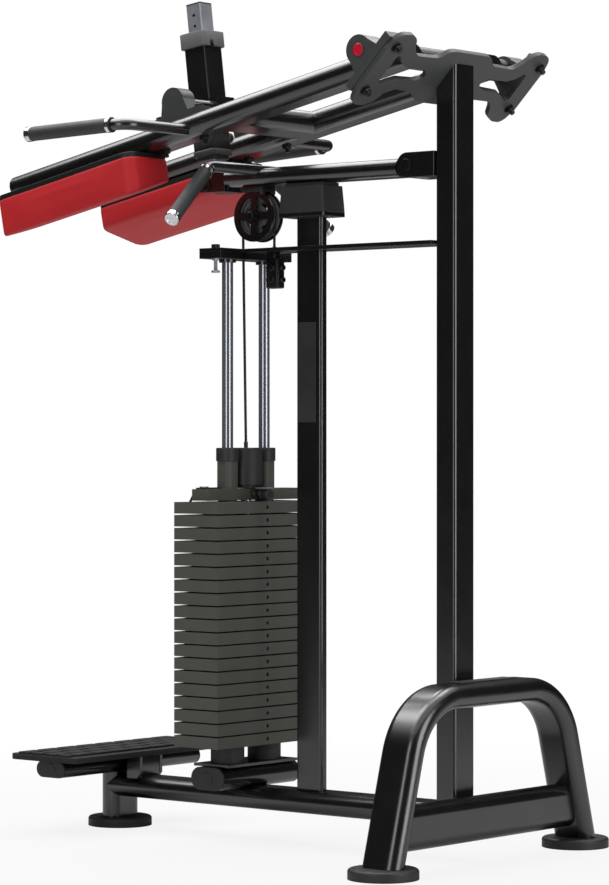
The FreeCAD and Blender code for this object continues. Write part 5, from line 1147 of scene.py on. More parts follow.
@dataclass
class PullPins:
    """The selector pin in the lifting head and the lock pin in the sleeve.

    Attributes:
        shank_radius: Radius of both shanks, in millimetres like all sizes here.
        chamfer: Height of the chamfer at a shank's tip.
        selector_tip: Radius of the selector pin's tip.
        selector_knob_length: Length of its knob.
        selector_knob_radius: Radius of its knob.
        tab_width: Width of the flat tab over the knob, and of its leg.
        tab_thickness: Thickness of the tab.
        leg_thickness: Thickness of the leg.
        leg_height: Height of the leg.
        leg_drop: Distance of the leg's middle below the point that it is turned about.
        leg_turn: Slant of the leg in degrees.
        lock_tip: Radius of the lock pin's tip.
        lock_knob_length: Length of its knob.
    """

    shank_radius: float = 4.0
    chamfer: float = 1.0
    selector_tip: float = 3.2
    selector_knob_length: float = 36.0
    selector_knob_radius: float = 13.5
    tab_width: float = 30.0
    tab_thickness: float = 4.0
    leg_thickness: float = 3.0
    leg_height: float = 26.0
    leg_drop: float = 12.0
    leg_turn: float = 24.0
    lock_tip: float = 3.4
    lock_knob_length: float = 16.0

    def shank(self, tip: float, length: float) -> bpy.types.Object:
        """Model a steel shank along Z, from its tip."""
        r = self.shank_radius
        return SHOP.turned([(tip, 0), (r, self.chamfer), (r, length)], 24)

    def knob(self, start: float, length: float, radius: float) -> bpy.types.Object:
        """Model a fluted knob along Z, waisted in its middle.

        Args:
            start: Height where it starts.
            length: Its length.
            radius: Its largest radius.

        Returns:
            The knob.
        """
        end = start + length
        middle = (start + end) / 2
        profile = [
            (radius * 0.6, start), (radius * 0.92, start), (radius, start + 1.5), (radius, middle - 4),
            (radius * 0.88, middle - 1.5), (radius * 0.88, middle + 1.5), (radius, middle + 4),
            (radius, end - 2.5), (radius * 0.9, end - 0.6), (radius * 0.75, end), (radius * 0.45, end),
            (radius * 0.42, end - 1.0),
        ]
        return SHOP.turned(profile, 44, flute=0.93)

    def selector(self) -> None:
        """Make the selector pin: steel shank, fluted knob, and a flat grey tab on a slanting leg."""
        low, high = box_mm("selector_pin")
        x = (low.x + high.x) / 2
        spot = upright_at(Vector((x, low.y, low.z + self.selector_knob_radius)) * MM, Y_AXIS, X_AXIS)
        length = self.selector_knob_length
        bare = high.y - low.y - length
        shank = SHOP.place(self.shank(self.selector_tip, bare), spot)
        SHOP.hand_over(shank, "selector_pin_shank", Slot.ROD_STEEL, "selector_pin", "selector_pin")
        knob = SHOP.place(self.knob(bare, length, self.selector_knob_radius), spot)
        SHOP.hand_over(knob, "selector_pin_knob", Slot.BLACK_PLASTIC, "selector_pin")
        tab = SHOP.block(
            Vector((self.tab_width, length, self.tab_thickness)),
            Vector((x, high.y - length / 2, high.z - self.tab_thickness / 2)), 2.0, 0.8)
        leg = SHOP.block(
            Vector((self.tab_width, self.leg_thickness, self.leg_height)), Vector((0, 0, -self.leg_drop)),
            0.0, 0.8)
        SHOP.place(
            leg, Matrix.Translation(Vector((x, high.y - length + 2.0, high.z - 1.2)) * MM)
            @ Matrix.Rotation(math.radians(self.leg_turn), 4, "X"))
        SHOP.hand_over(tab, "selector_pin_tab", Slot.GREY_PLASTIC, "selector_pin")
        SHOP.hand_over(leg, "selector_pin_leg", Slot.DARK_STEEL, "selector_pin")

    def lock(self) -> None:
        """Make the sleeve's lock pin: steel shank and fluted knob."""
        line = line_through(solids_of("lock_pin")[0], -X_AXIS)
        spot = upright_at(line.start, line.axis, Z_AXIS)
        bare = (line.end - line.start).length / MM - self.lock_knob_length
        shank = SHOP.place(self.shank(self.lock_tip, bare), spot)
        SHOP.hand_over(shank, "lock_pin_shank", Slot.ROD_STEEL, "lock_pin", "lock_pin")
        knob = SHOP.place(self.knob(bare, self.lock_knob_length, line.radius / MM), spot)
        SHOP.hand_over(knob, "lock_pin_knob", Slot.BLACK_PLASTIC, "lock_pin")

    def build(self) -> None:
        """Make both pins."""
        self.selector()
        self.lock()


@dataclass
class FrameTrim:
    """Small pieces on the fixed frame: gusset web, end cap rims, placard, stop bolt and cable clamp.

    Attributes:
        web_size: Width, thickness and height of the plate between the gussets, in millimetres like all
            sizes here.
        web_inset: Distance of its middle from the back of the platform's tube.
        rim_sink: How far an end cap's rim is let into the cap.
        placard_low: Lower corner of the bare placard on the centre column, as Y and Z.
        placard_high: Its upper corner.
        placard_thickness: Its thickness.
        column_face: Where the centre column's right face lies, as X.
        stop_radius: Radius of the stop bolt's cap and foot.
        stop_cap: Height of its cap.
        stop_foot: Height of its foot.
        stop_nut: Heights of its nut's two faces.
        stop_nut_radius: Radius to its nut's corners.
        stud_radius: Outer radius of its thread.
        stud_pitch: Pitch of its thread.
        clamp_size: Width and depth of the clamp's block.
        clamp_drop: How far the block reaches below the node it stands for.
        neck_size: Width, depth and height of its neck.
        shoulder: Distance of the block's top below the neck's top.
        clamp_gap: Distance of its front behind the node's front.
        screw_drops: How far its two rows of screws lie below the block's top.
        screw_radius: Radius of their heads.
    """

    web_size: tuple[float, float, float] = (66.4, 5.0, 50.0)
    web_inset: float = 3.5
    rim_sink: float = 0.2
    placard_low: tuple[float, float] = (76.0, 928.0)
    placard_high: tuple[float, float] = (127.0, 1148.0)
    placard_thickness: float = 1.2
    column_face: float = 12.0
    stop_radius: float = 9.5
    stop_cap: float = 9.0
    stop_foot: float = 5.0
    stop_nut: tuple[float, float] = (27.0, 36.0)
    stop_nut_radius: float = 8.66
    stud_radius: float = 4.5
    stud_pitch: float = 1.5
    clamp_size: tuple[float, float] = (26.0, 37.0)
    clamp_drop: float = 6.0
    neck_size: tuple[float, float, float] = (20.0, 26.0, 14.0)
    shoulder: float = 12.0
    clamp_gap: float = 4.0
    screw_drops: tuple[float, float] = (22.0, 49.0)
    screw_radius: float = 7.5

    def web(self) -> None:
        """Make the cross plate that closes the two gussets under the platform."""
        tube = box_mm("platform_tube")[1]
        size = Vector(self.web_size)
        plate = SHOP.block(size, Vector((0, tube.y - self.web_inset, tube.z - size.z / 2)), 0.0, 0.8)
        SHOP.hand_over(plate, "gusset_web", Slot.FRAME_PAINT, "frame")

    def cap_rims(self) -> None:
        """Make a raised rim with a shallow dish on each tube end cap."""
        places = []
        for points in solids_of("tube_end_caps"):
            side = 1 if points[0].x > 0 else -1
            line = line_through(points, X_AXIS * side)
            places.append(upright_at(line.end - X_AXIS * side * self.rim_sink * MM, line.axis, Z_AXIS))
        rim = SHOP.turned([(14.5, 0), (14.5, 0.8), (13.9, 1.2), (12.2, 1.2), (11.6, 0.7), (4.0, 0.5)], 36)
        rims = SHOP.copies(rim, places)
        SHOP.hand_over(rims, "end_cap_rims", Slot.BLACK_PLASTIC, "frame")

    def placard(self) -> None:
        """Make the bare placard on the centre column's right face."""
        low, high = self.placard_low, self.placard_high
        size = Vector((self.placard_thickness, high[0] - low[0], high[1] - low[1]))
        x = self.column_face + self.placard_thickness / 3
        plate = SHOP.block(size, Vector((x, (low[0] + high[0]) / 2, (low[1] + high[1]) / 2)), 0.0, 0.4)
        SHOP.hand_over(plate, "bare_placard", Slot.BLACK_PLASTIC, "frame")

    def stop_bolt(self) -> None:
        """Make the stop bolt: black cap above the strap, bright nut, stud and foot below."""
        line = line_through(solids_of("guide_stop_bolt")[0], Z_AXIS)
        spot = Matrix.Translation(line.start)
        r, top = self.stop_radius, (line.end - line.start).length / MM
        cap_low = top - self.stop_cap
        cap = SHOP.turned(
            [(r - 0.2, cap_low), (r, cap_low + 0.5), (r, top - 1.2), (r - 0.9, top), (4.5, top),
             (4.2, top - 1.5)], 40, flute=0.96)
        SHOP.place(cap, spot)
        SHOP.hand_over(cap, "stop_bolt_cap", Slot.DARK_STEEL, "frame", "guide_stop_bolt")
        foot = SHOP.turned(
            [(r - 0.5, 0), (r, 0.6), (r, self.stop_foot - 0.8), (r - 0.5, self.stop_foot)], 36)
        low, high = self.stop_nut
        bolt = Bolts(thread_radius=self.stud_radius, pitch=self.stud_pitch)
        stud = bolt.thread(self.stop_foot, low + 0.8)
        r = self.stop_nut_radius
        nut = SHOP.turned([(r - 0.66, low), (r, low + 0.6), (r, high - 0.8), (r - 0.66, high)], 6)
        r = self.stud_radius - 0.1
        shank = SHOP.turned([(r, high), (r, cap_low)], 20)
        steel = SHOP.place(SHOP.join([foot, stud, nut, shank]), spot)
        SHOP.hand_over(steel, "stop_bolt_stud", Slot.POST_STEEL, "frame")

    def clamp(self) -> None:
        """Make the cable clamp under the strap: neck, rounded block and its cap screws."""
        low, high = box_mm("cable_clamp")
        width, depth = self.clamp_size
        x = (low.x + high.x) / 2
        front = low.y + self.clamp_gap
        middle = front + depth / 2
        bottom, top = low.z - self.clamp_drop, high.z - self.shoulder
        size = Vector(self.neck_size)
        neck = SHOP.block(size, Vector((x, front + size.y / 2, high.z - size.z / 2)), 4.0, 0.5)
        body = SHOP.block(
            Vector((width, depth, top - bottom)), Vector((x, middle, (top + bottom) / 2)), 6.0, 3.5)
        parts = [neck, body]
        screws = Bolts()
        for drop in self.screw_drops:
            z = top - drop
            for spot, way, height in (
                (Vector((x, front + depth, z)), Y_AXIS, 8.0),
                (Vector((x, front, z)), -Y_AXIS, 4.0),
                (Vector((x + width / 2, middle + 2.0, z)), X_AXIS, 3.0),
            ):
                parts.append(SHOP.place(
                    screws.screw(height, self.screw_radius), upright_at(spot * MM, way, Z_AXIS)))
        SHOP.hand_over(SHOP.join(parts), "cable_clamp_detailed", Slot.DARK_STEEL, "frame", "cable_clamp")

    def build(self) -> None:
        """Make all of the frame's trim."""
        self.web()
        self.cap_rims()
        self.placard()
        self.stop_bolt()
        self.clamp()


@dataclass
class PostTrim:
    """The collar on top of the sleeve, the stepped boot and lip under it, and the plug in the post's top.

    Attributes:
        post_width: Width of the inner post, in millimetres like all sizes here.
        gap: Space between the post and a bore.
        collar_width: Width of the top collar.
        collar_height: Its height.
        collar_reach: Where it starts on the post's line, from the foot pivot.
        notch_place: Across and up, the middle of the round notch in the collar's face.
        notch_radius: Radius of that notch.
        slot_width: Width of the slot that opens the notch downwards.
        slot_across: The slot's middle.
        boot_width: Width of the boot's rim.
        boot_height: Its height.
        boot_reach: Where it starts on the post's line.
        lip_width: Width of the lip under the boot.
        lip_height: Its height.
        lip_reach: Where it starts on the post's line.
        plug_reach: Where the inner post ends.
    """

    post_width: float = 42.0
    gap: float = 0.6
    collar_width: float = 76.0
    collar_height: float = 35.0
    collar_reach: float = 315.0
    notch_place: tuple[float, float] = (12.0, 7.0)
    notch_radius: float = 7.0
    slot_width: float = 5.0
    slot_across: float = 8.0
    boot_width: float = 64.0
    boot_height: float = 17.0
    boot_reach: float = 67.0
    lip_width: float = 53.0
    lip_height: float = 8.8
    lip_reach: float = 58.2
    plug_reach: float = 415.0

    def place_at(self, reach: float) -> Matrix:
        """The place on the post's line at a reach from the foot pivot, Z up along the post."""
        return upright_at(FOOT_PIVOT + POST_UP * reach * MM, POST_UP, X_AXIS)

    def collar(self) -> bpy.types.Object:
        """Model the top collar with the keyhole notch in its rear face.

        Returns:
            The collar at the origin.
        """
        hole, half, top = self.post_width / 2 + self.gap, self.collar_width / 2, self.collar_height
        collar = SHOP.turned(
            [(hole, 0), (half - 1.4, 0), (half - 0.4, 0.4), (half, 1.4), (half, top - 2.0),
             (half - 0.6, top - 0.6), (half - 2.0, top), (hole + 1.0, top), (hole, top - 1.0), (hole, 0)],
            corner=6.0, open_bore=True)
        across, up = self.notch_place
        notch = SHOP.turned([(self.notch_radius, 0), (self.notch_radius, 20.0)], 24)
        SHOP.place(notch, upright_at(Vector((across, half - 6.0, up)) * MM, Y_AXIS, X_AXIS))
        SHOP.cut(collar, notch)
        slot = SHOP.block(Vector((self.slot_width, 20.0, 20.0)), Vector((self.slot_across, half, 0)))
        SHOP.cut(collar, slot)
        return collar

    def boot(self) -> bpy.types.Object:
        """Model the boot, whose upper part steps in.

        Returns:
            The boot at the origin.
        """
        hole, half, top = self.post_width / 2 + self.gap, self.boot_width / 2, self.boot_height
        return SHOP.turned(
            [(hole, 0), (half - 0.6, 0), (half, 0.6), (half, top - 4.8), (half - 0.3, top - 4.2),
             (half - 4.6, top - 0.4), (half - 5.2, top), (hole, top), (hole, 0)],
            corner=4.0, open_bore=True)

    def lip(self) -> bpy.types.Object:
        """Model the lip under the boot.

        Returns:
            The lip at the origin.
        """
        hole, half, top = self.post_width / 2 + self.gap, self.lip_width / 2, self.lip_height
        return SHOP.turned(
            [(hole, 0), (half - 0.8, 0), (half, 0.8), (half, top), (hole, top), (hole, 0)],
            corner=4.0, open_bore=True)

    def plug(self) -> bpy.types.Object:
        """Model the plug in the inner post's top.

        Returns:
            The plug at the origin.
        """
        half = self.post_width / 2 + 0.3
        return SHOP.turned(
            [(half - 0.3, -0.2), (half, 0.2), (half, 2.4), (half - 0.9, 3.4), (half - 3.0, 3.6)],
            corner=3.0)

    def build(self) -> None:
        """Make the four pieces and set them on the post's line."""
        collar = SHOP.place(self.collar(), self.place_at(self.collar_reach))
        SHOP.hand_over(collar, "sleeve_top_collar", Slot.GREY_PLASTIC, "sleeve", "sleeve_collars")
        boot = SHOP.place(self.boot(), self.place_at(self.boot_reach))
        SHOP.hand_over(boot, "sleeve_boot", Slot.BLACK_PLASTIC, "sleeve")
        lip = SHOP.place(self.lip(), self.place_at(self.lip_reach))
        SHOP.hand_over(lip, "boot_lip", Slot.BLACK_PLASTIC, "sleeve")
        plug = SHOP.place(self.plug(), self.place_at(self.plug_reach))
        SHOP.hand_over(plug, "inner_post_plug", Slot.BLACK_PLASTIC, "inner_post")


@dataclass
class CableRuns:
    """The cable's two straight runs, which keep meeting the pulley as the weight arm rises.

    Attributes:
        radius: Radius of the jacket, in millimetres like all sizes here.
        ferrule_radius: Radius of the crimped end.
        ferrule_length: Length of the crimped end.
        rings: How many lengths a run is divided into.
    """

    radius: float = 3.0
    ferrule_radius: float = 4.6
    ferrule_length: float = 14.0
    rings: int = 14

    def run(self, start: Vector, end: Vector) -> bpy.types.Object:
        """Model one run with its crimped end at the start.

        Args:
            start: Where it starts, in metres.
            end: Where it ends, in metres.

        Returns:
            The run in its place.
        """
        length = (end - start).length / MM
        crimp, fat, thin = self.ferrule_length, self.ferrule_radius, self.radius
        profile = [(fat - 0.8, 0), (fat, 0.8), (fat, crimp - 1.5), (thin + 0.3, crimp), (thin, crimp + 0.5)]
        first = profile[-1][1]
        step = (length - first) / self.rings
        profile += [(thin, first + step * ring) for ring in range(1, self.rings + 1)]
        return SHOP.place(SHOP.turned(profile, 16), upright_at(start, end - start, X_AXIS))

    def build(self) -> None:
        """Make the run on the lifting head and the anchored run."""
        low, high = (Vector(corner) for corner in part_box("cable_head_run"))
        start = Vector((0, high.y - self.radius * MM, low.z))
        end = Vector((0, low.y + self.radius * MM, high.z))
        head_run = self.run(start, end)
        SHOP.hand_over(
            head_run, "cable_head_run_jacket", Slot.CABLE_JACKET, "weight_head", "cable_head_run")
        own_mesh(head_run)
        low, high = (Vector(corner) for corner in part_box("cable_anchor_run"))
        middle = (low + high) / 2
        start, end = Vector((0, middle.y, low.z)), Vector((0, middle.y, high.z))
        anchored = self.run(start, end)
        SHOP.hand_over(anchored, "cable_anchor_run_jacket", Slot.CABLE_JACKET, None, "cable_anchor_run")
        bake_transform(anchored)


@dataclass
class TreadPlate:
    """The foot platform: a rubber plate with staggered raised blocks.

    Attributes:
        corner: Radius of the plate's corners, in millimetres like all sizes here.
        block_length: Length of a block across the machine.
        block_width: Width of a block.
        gap: Space between blocks.
        margin: Plain border round the blocks.
        height: Height of a block.
        sink: How far a block reaches into the plate.
    """

    corner: float = 16.0
    block_length: float = 56.0
    block_width: float = 33.0
    gap: float = 8.0
    margin: float = 4.0
    height: float = 5.0
    sink: float = 0.5

    def build(self) -> None:
        """Make the plate and lay its rows of blocks, every second row shifted by half a block."""
        low, high = box_mm("step_platform")
        top = high.z - self.height
        size = Vector((high.x - low.x, high.y - low.y, top - low.z))
        middle = Vector(((low.x + high.x) / 2, (low.y + high.y) / 2, (low.z + top) / 2))
        plate = SHOP.block(size, middle, self.corner, 1.2, 6)
        pitch_x = self.block_length + self.gap
        pitch_y = self.block_width + self.gap
        rows = int((size.y - 2 * self.margin + self.gap) / pitch_y)
        left_over = size.y - rows * pitch_y + self.gap
        edge = size.x / 2 - self.margin
        parts = [plate]
        for row in range(rows):
            y = low.y + left_over / 2 + self.block_width / 2 + row * pitch_y
            start = -edge - (row % 2) * pitch_x / 2
            while start < edge - self.gap:
                first, last = max(start, -edge), min(start + self.block_length, edge)
                if last - first > self.gap * 2:
                    parts.append(SHOP.block(
                        Vector((last - first, self.block_width, self.height + self.sink)),
                        Vector(((first + last) / 2, y, top + (self.height - self.sink) / 2)), 2.0, 0.7, 2))
                start += pitch_x
        tread = SHOP.join(parts)
        SHOP.hand_over(tread, "tread_plate", Slot.STEP_RUBBER, "frame", "step_platform")


@dataclass
class HeadTrim:
    """The lifting head's rounded sleeves, drum, latch strip and end tab, and the pulley's mount.

    Attributes:
        sleeve_half: Half the width of a rod sleeve, in millimetres like all sizes here.
        sleeve_corner: Radius of its corners.
        collar_half: Half the width of a collar.
        collar_corner: Radius of its corners.
        collar_height: Height of a collar.
        rod_offset: Distance of a rod from the middle.
        bore: Radius of the bores that the rods run in.
        drum_radius: Radius of the cable drum.
        boss_radius: Radius of the boss under it.
        boss_drop: Height of that boss.
        strip_size: Length, width and thickness of the latch strip.
        strip_across: The strip's middle, as X.
        strip_gap: Distance of its middle behind the head plate's front.
        tab_size: Width, thickness and height of the tab at the strip's end.
        tab_spot: The tab's middle, as X, and as Y and Z from the plate's front and top.
        tab_turn: Slant of the tab in degrees.
        button_size: Length, width and height of the bright button on the strip.
        button_spot: The button's middle, as X, and as height over the head plate.
        mount_size: Width, depth and thickness of the plate over the pulley.
        mount_drop: Distance of its middle below the lever.
        mount_screw: Across and along, the place of a screw under it.
        mount_screw_size: Height and radius of a screw's head.
    """

    sleeve_half: float = 20.0
    sleeve_corner: float = 8.0
    collar_half: float = 24.2
    collar_corner: float = 11.0
    collar_height: float = 30.0
    rod_offset: float = 62.9
    bore: float = 12.8
    drum_radius: float = 36.0
    boss_radius: float = 30.0
    boss_drop: float = 6.0
    strip_size: tuple[float, float, float] = (94.0, 20.0, 3.2)
    strip_across: float = 97.0
    strip_gap: float = 12.0
    tab_size: tuple[float, float, float] = (5.0, 3.0, 19.0)
    tab_spot: tuple[float, float, float] = (151.0, -4.6, -21.5)
    tab_turn: float = -32.0
    button_size: tuple[float, float, float] = (19.0, 14.0, 2.6)
    button_spot: tuple[float, float] = (128.0, 4.4)
    mount_size: tuple[float, float, float] = (50.0, 62.0, 9.0)
    mount_drop: float = 4.2
    mount_screw: tuple[float, float] = (17.0, 26.0)
    mount_screw_size: tuple[float, float] = (6.0, 7.0)

    def rod_pieces(self) -> None:
        """Make the two rod sleeves, and the drum with the two collars."""
        plate, yoke = box_mm("head_plate"), box_mm("head_yoke")
        middle_y = (plate[0].y + plate[1].y) / 2
        top, under = yoke[1].z, yoke[1].z - self.collar_height
        places = [
            Matrix.Translation(Vector((side * self.rod_offset, middle_y, 0)) * MM) for side in (1, -1)]
        bore, half, low = self.bore, self.sleeve_half, plate[1].z
        sleeve = SHOP.turned(
            [(bore, low), (half, low), (half, under), (bore, under), (bore, low)],
            corner=self.sleeve_corner, open_bore=True)
        sleeves = SHOP.copies(sleeve, places)
        SHOP.hand_over(sleeves, "rod_sleeves", Slot.PLATE_IRON, "weight_head", "head_sleeves")
        half = self.collar_half
        collar = SHOP.turned(
            [(bore, under), (half - 0.5, under), (half, under + 0.5), (half, top - 2.0),
             (half - 0.8, top - 0.6), (half - 2.4, top), (bore, top), (bore, under)],
            corner=self.collar_corner, open_bore=True)
        radius, boss, low = self.drum_radius, self.boss_radius, yoke[0].z
        under = low - self.boss_drop
        drum = SHOP.turned(
            [(5.0, under), (boss - 1.0, under), (boss, under + 1.0), (boss, low), (radius - 1.0, low),
             (radius, low + 1.0), (radius, top - 2.0), (radius - 0.6, top - 0.6), (radius - 2.0, top),
             (9.0, top), (8.0, top - 1.0)], 64)
        SHOP.place(drum, Matrix.Translation(Y_AXIS * middle_y * MM))
        head = SHOP.join([SHOP.copies(collar, places), drum])
        SHOP.hand_over(head, "drum_and_collars", Slot.BLACK_PLASTIC, "weight_head", "head_yoke")

    def latch(self) -> None:
        """Make the latch strip with its end tab on the head plate, and the button on the strip."""
        front, top = box_mm("head_plate")[0].y, box_mm("head_plate")[1].z
        y = front + self.strip_gap
        size = Vector(self.strip_size)
        strip = SHOP.block(size, Vector((self.strip_across, y, top + size.z / 2)), 0.0, 0.6)
        spot = Vector(self.tab_spot) + Vector((0, front, top))
        tab = SHOP.place(
            SHOP.block(Vector(self.tab_size), Vector(), 0.0, 0.5),
            Matrix.Translation(spot * MM) @ Matrix.Rotation(math.radians(self.tab_turn), 4, "X"))
        SHOP.hand_over(SHOP.join([strip, tab]), "head_latch_strip", Slot.BLACK_PLASTIC, "weight_head")
        across, up = self.button_spot
        button = SHOP.block(Vector(self.button_size), Vector((across, y, top + up)), 3.0, 0.8)
        SHOP.hand_over(button, "head_latch_button", Slot.POST_STEEL, "weight_head")

    def pulley_mount(self) -> None:
        """Make the plate between the lever and the pulley's cheeks, and the wheel's hexagon bolt."""
        cheeks, wheel = box_mm("pulley_bracket"), box_mm("pulley")
        middle_y = (cheeks[0].y + cheeks[1].y) / 2
        size = Vector(self.mount_size)
        z = box_mm("weight_lever")[0].z - self.mount_drop
        parts = [SHOP.block(size, Vector((0, middle_y, z)), 5.0, 1.0)]
        screws = Bolts()
        across, along = self.mount_screw
        for side in (1, -1):
            spot = Vector((side * across, middle_y + along, z - size.z / 2)) * MM
            parts.append(SHOP.place(
                screws.screw(*self.mount_screw_size), upright_at(spot, -Z_AXIS, X_AXIS)))
        SHOP.hand_over(SHOP.join(parts), "pulley_mount_plate", Slot.BLACK_PLASTIC, "weight_arm")
        axle = Vector((cheeks[1].x, (wheel[0].y + wheel[1].y) / 2, (wheel[0].z + wheel[1].z) / 2))
        places = [
            upright_at(Vector((side * axle.x, axle.y, axle.z)) * MM, X_AXIS * side, Z_AXIS)
            for side in (1, -1)]
        head = SHOP.join([screws.washer_disc(), screws.hexagon(screws.washer, screws.head_height)])
        heads = SHOP.copies(head, places)
        SHOP.hand_over(heads, "pulley_bolt_heads", Slot.DARK_STEEL, "weight_arm")

    def build(self) -> None:
        """Make the pieces on the lifting head and those at the pulley."""
        self.rod_pieces()
        self.latch()
        self.pulley_mount()


@dataclass
class Studio:
    """The photograph's camera, the pale floor and the soft lights.

    Attributes:
        camera_place: The camera's place.
        yaw: Angle in degrees from the -Y axis to the viewing direction, about Z.
        pitch: Angle in degrees of the view above level.
        focal_pixels: Focal length in pixels of the photograph.
        frame_height: The photograph's height in pixels.
        sensor: Sensor size of the longer side in millimetres.
        far_clip: Distance to which the camera sees.
        floor_size: Side of the floor.
        floor_colour: The floor's own colour under the lights.
        shadow_radius: Radius past which the floor shows plain white.
        shadow_core: Share of that radius within which the floor is as it is in the middle.
        floor_glow: Share of plain white in the floor near the machine.
        fill: Strength of the world's faint fill.
        ceiling_width: Width of the overhead softbox, across the machine.
        ceiling_depth: Its depth, along the machine.
        ceiling_height: Its height.
        ceiling_watts: Its power.
        ceiling_shift: How far it hangs off the machine's middle line.
        ceiling_aim: How far off that line it faces, as a share of the shift.
        panel_watts: Power of the side softbox.
        panel_away: Its distance from the machine's middle line.
        panel_turn: Its direction in degrees from +X, about Z.
        panel_width: Its width.
        panel_height: Its height.
        panel_lift: Space under it.
        front_watts: Power of the front softbox.
        front_away: Its distance from the machine's middle line.
        front_turn: Its direction in degrees from +X, about Z.
        front_middle: Height of its middle.
        front_width: Its width.
        front_height: Its height.
        flag_radius: Radius of the dark screen round the set.
        flag_height: Its height.
        flag_colour: Its colour.
    """

    camera_place: Vector = field(default_factory=lambda: Vector((5.5333, 4.6508, 0.9018)))
    yaw: float = 50.465
    pitch: float = -0.145
    focal_pixels: float = 3256.76
    frame_height: float = 885.0
    sensor: float = 36.0
    far_clip: float = 200.0
    floor_size: float = 60.0
    floor_colour: str = "#b6b6b6"
    shadow_radius: float = 2.6
    shadow_core: float = 0.4
    floor_glow: float = 0.86
    fill: float = 0.45
    ceiling_width: float = 5.2
    ceiling_depth: float = 4.0
    ceiling_height: float = 4.2
    ceiling_watts: float = 280.0
    ceiling_shift: Vector = field(default_factory=lambda: Vector((-0.5, -1.1, 0.0)))
    ceiling_aim: float = 0.6
    panel_watts: float = 50.0
    panel_away: float = 3.6
    panel_turn: float = 91.0
    panel_width: float = 1.8
    panel_height: float = 2.5
    panel_lift: float = 0.05
    front_watts: float = 22.0
    front_away: float = 3.6
    front_turn: float = 14.0
    front_middle: float = 1.4
    front_width: float = 1.2
    front_height: float = 2.4
    flag_radius: float = 4.0
    flag_height: float = 3.9
    flag_colour: str = "#303032"

    def add_camera(self) -> None:
        """Set the camera where the photograph was taken."""
        yaw = math.radians(self.yaw)
        pitch = math.radians(self.pitch)
        look = Vector((-math.sin(yaw) * math.cos(pitch), -math.cos(yaw) * math.cos(pitch), math.sin(pitch)))
        bpy.ops.object.camera_add(location=self.camera_place)
        camera = bpy.context.object
        camera.rotation_mode = "QUATERNION"
        camera.rotation_quaternion = look.to_track_quat("-Z", "Y")
        camera.data.sensor_width = self.sensor
        camera.data.lens = self.focal_pixels / self.frame_height * self.sensor
        camera.data.clip_end = self.far_clip
        bpy.context.scene.camera = camera

    def add_floor(self) -> None:
        """Lay the pale floor, which shows white and keeps the soft shadow."""
        SHOP.clear()
        bpy.ops.mesh.primitive_plane_add(size=self.floor_size, location=(0, 0, 0))
        floor = bpy.context.object
        floor.name = "floor"
        material = empty_material("white_studio_floor")
        tree = material.node_tree
        matt = add_node(tree, "ShaderNodeBsdfDiffuse", values={"Color": linear(self.floor_colour)})
        shine = add_node(tree, "ShaderNodeEmission", values={"Color": linear(WHITE), "Strength": 1.0})
        seen = add_node(tree, "ShaderNodeLightPath")
        place = add_node(tree, "ShaderNodeTexCoord").outputs["Object"]
        away = add_node(tree, "ShaderNodeVectorMath", {"operation": "LENGTH"}, links={0: place})
        ring = add_node(
            tree, "ShaderNodeMapRange", {"interpolation_type": "SMOOTHSTEP"},
            {"From Min": self.shadow_radius * self.shadow_core, "From Max": self.shadow_radius,
             "To Min": self.floor_glow, "To Max": 1.0}, {"Value": away.outputs["Value"]})
        share = add_node(
            tree, "ShaderNodeMath", {"operation": "MULTIPLY"},
            links={0: seen.outputs["Is Camera Ray"], 1: ring.outputs[0]})
        mix = add_node(
            tree, "ShaderNodeMixShader",
            links={0: share.outputs[0], 1: matt.outputs[0], 2: shine.outputs[0]})
        add_node(tree, "ShaderNodeOutputMaterial", links={"Surface": mix.outputs[0]})
        floor.data.materials.append(material)

    def add_lamp(
        self, name: str, place: Vector, aim: Vector, size: tuple[float, float], watts: float,
    ) -> None:
        """Hang one softbox.

        Args:
            name: The lamp's name.
            place: Where it hangs.
            aim: The point it faces.
            size: Its width and height.
            watts: Its power.
        """
        bpy.ops.object.light_add(type="AREA", location=place)
        lamp = bpy.context.object
        lamp.name = name
        lamp.data.shape = "RECTANGLE"
        lamp.data.size, lamp.data.size_y = size
        lamp.data.energy = watts
        lamp.rotation_mode = "QUATERNION"
        lamp.rotation_quaternion = (aim - place).to_track_quat("-Z", "Y")
        lamp.visible_camera = False

    def add_panel(
        self, name: str, turn: float, away: float, middle: Vector, aim: Vector, size: tuple[float, float],
        watts: float,
    ) -> None:
        """Stand one softbox beside the machine.

        Args:
            name: The lamp's name.
            turn: Angle from +X in degrees, about Z.
            away: Distance from the machine's middle line.
            middle: Its height, on the machine's middle line.
            aim: The point it faces.
            size: Its width and height.
            watts: Its power.
        """
        angle = math.radians(turn)
        place = Vector((math.cos(angle), math.sin(angle), 0)) * away + middle
        self.add_lamp(name, place, aim, size, watts)

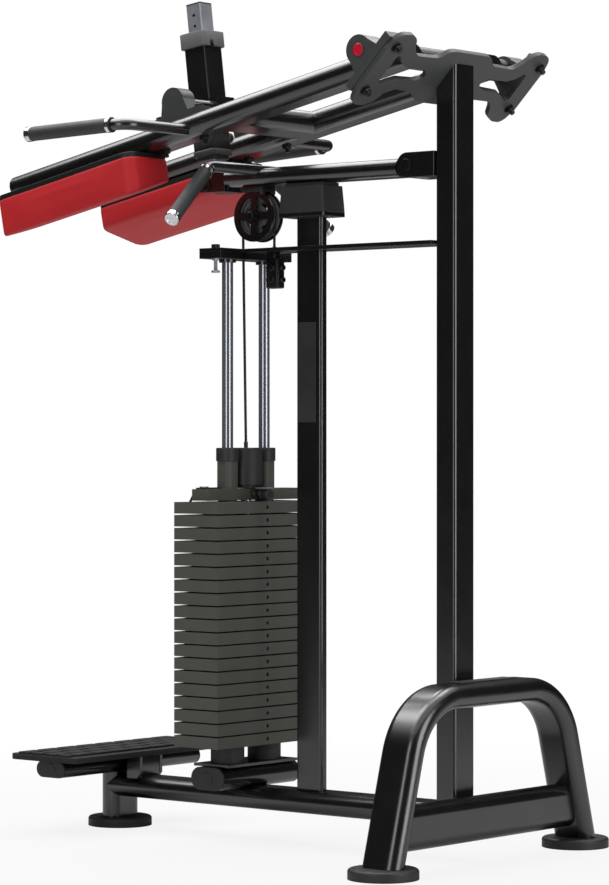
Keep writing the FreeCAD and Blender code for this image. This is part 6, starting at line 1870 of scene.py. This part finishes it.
    def add_world(self) -> None:
        """Set the white background and a faint fill for everything else."""
        world = bpy.data.worlds.new("studio")
        bpy.context.scene.world = world
        world.use_nodes = True
        tree = world.node_tree
        tree.nodes.clear()
        seen = add_node(tree, "ShaderNodeLightPath")
        first = add_node(
            tree, "ShaderNodeMath", {"operation": "MAXIMUM"},
            links={0: seen.outputs["Is Camera Ray"], 1: seen.outputs["Is Glossy Ray"]})
        second = add_node(
            tree, "ShaderNodeMath", {"operation": "MAXIMUM"},
            links={0: first.outputs[0], 1: seen.outputs["Is Transmission Ray"]})
        fill = add_node(
            tree, "ShaderNodeBackground", values={"Color": linear(WHITE), "Strength": self.fill})
        white = add_node(tree, "ShaderNodeBackground", values={"Color": linear(WHITE), "Strength": 1.0})
        mix = add_node(
            tree, "ShaderNodeMixShader",
            links={0: second.outputs[0], 1: fill.outputs[0], 2: white.outputs[0]})
        add_node(tree, "ShaderNodeOutputWorld", links={"Surface": mix.outputs[0]})

    def add_flags(self) -> None:
        """Stand a dark cloth screen round the set, out of the camera's sight, for dark reflections."""
        SHOP.clear()
        bpy.ops.mesh.primitive_cylinder_add(
            vertices=64, radius=self.flag_radius, depth=self.flag_height, end_fill_type="NOTHING",
            location=(0, 0, self.flag_height / 2))
        screen = bpy.context.object
        screen.name = "dark_screen"
        screen.visible_camera = False
        screen.visible_diffuse = False
        screen.visible_shadow = False
        material = empty_material("dark_screen_cloth")
        tree = material.node_tree
        cloth = add_node(tree, "ShaderNodeBsdfDiffuse", values={"Color": linear(self.flag_colour)})
        add_node(tree, "ShaderNodeOutputMaterial", links={"Surface": cloth.outputs[0]})
        screen.data.materials.append(material)

    def build(self) -> None:
        """Set up the whole studio."""
        self.add_camera()
        self.add_world()
        self.add_floor()
        self.add_flags()
        top = Z_AXIS * self.ceiling_height + self.ceiling_shift
        self.add_lamp(
            "overhead_softbox", top, self.ceiling_shift * self.ceiling_aim,
            (self.ceiling_width, self.ceiling_depth), self.ceiling_watts)
        side = Z_AXIS * (self.panel_height / 2 + self.panel_lift)
        self.add_panel(
            "side_softbox", self.panel_turn, self.panel_away, side, side,
            (self.panel_width, self.panel_height), self.panel_watts)
        self.add_panel(
            "front_softbox", self.front_turn, self.front_away, Z_AXIS * self.front_middle, Z_AXIS,
            (self.front_width, self.front_height), self.front_watts)
        bpy.context.scene.view_settings.view_transform = "Standard"


def main() -> None:
    """Build the whole scene in order."""
    logging.basicConfig(level=logging.INFO, format="%(name)s: %(message)s")
    Studio().build()
    CarriedNodes().dress()
    ShoulderPads().build()
    HandleTrim().build()
    Bolts().build()
    BearingCaps().build()
    PullPins().build()
    FrameTrim().build()
    PostTrim().build()
    CableRuns().build()
    TreadPlate().build()
    HeadTrim().build()


if __name__ == "__main__":
    main()
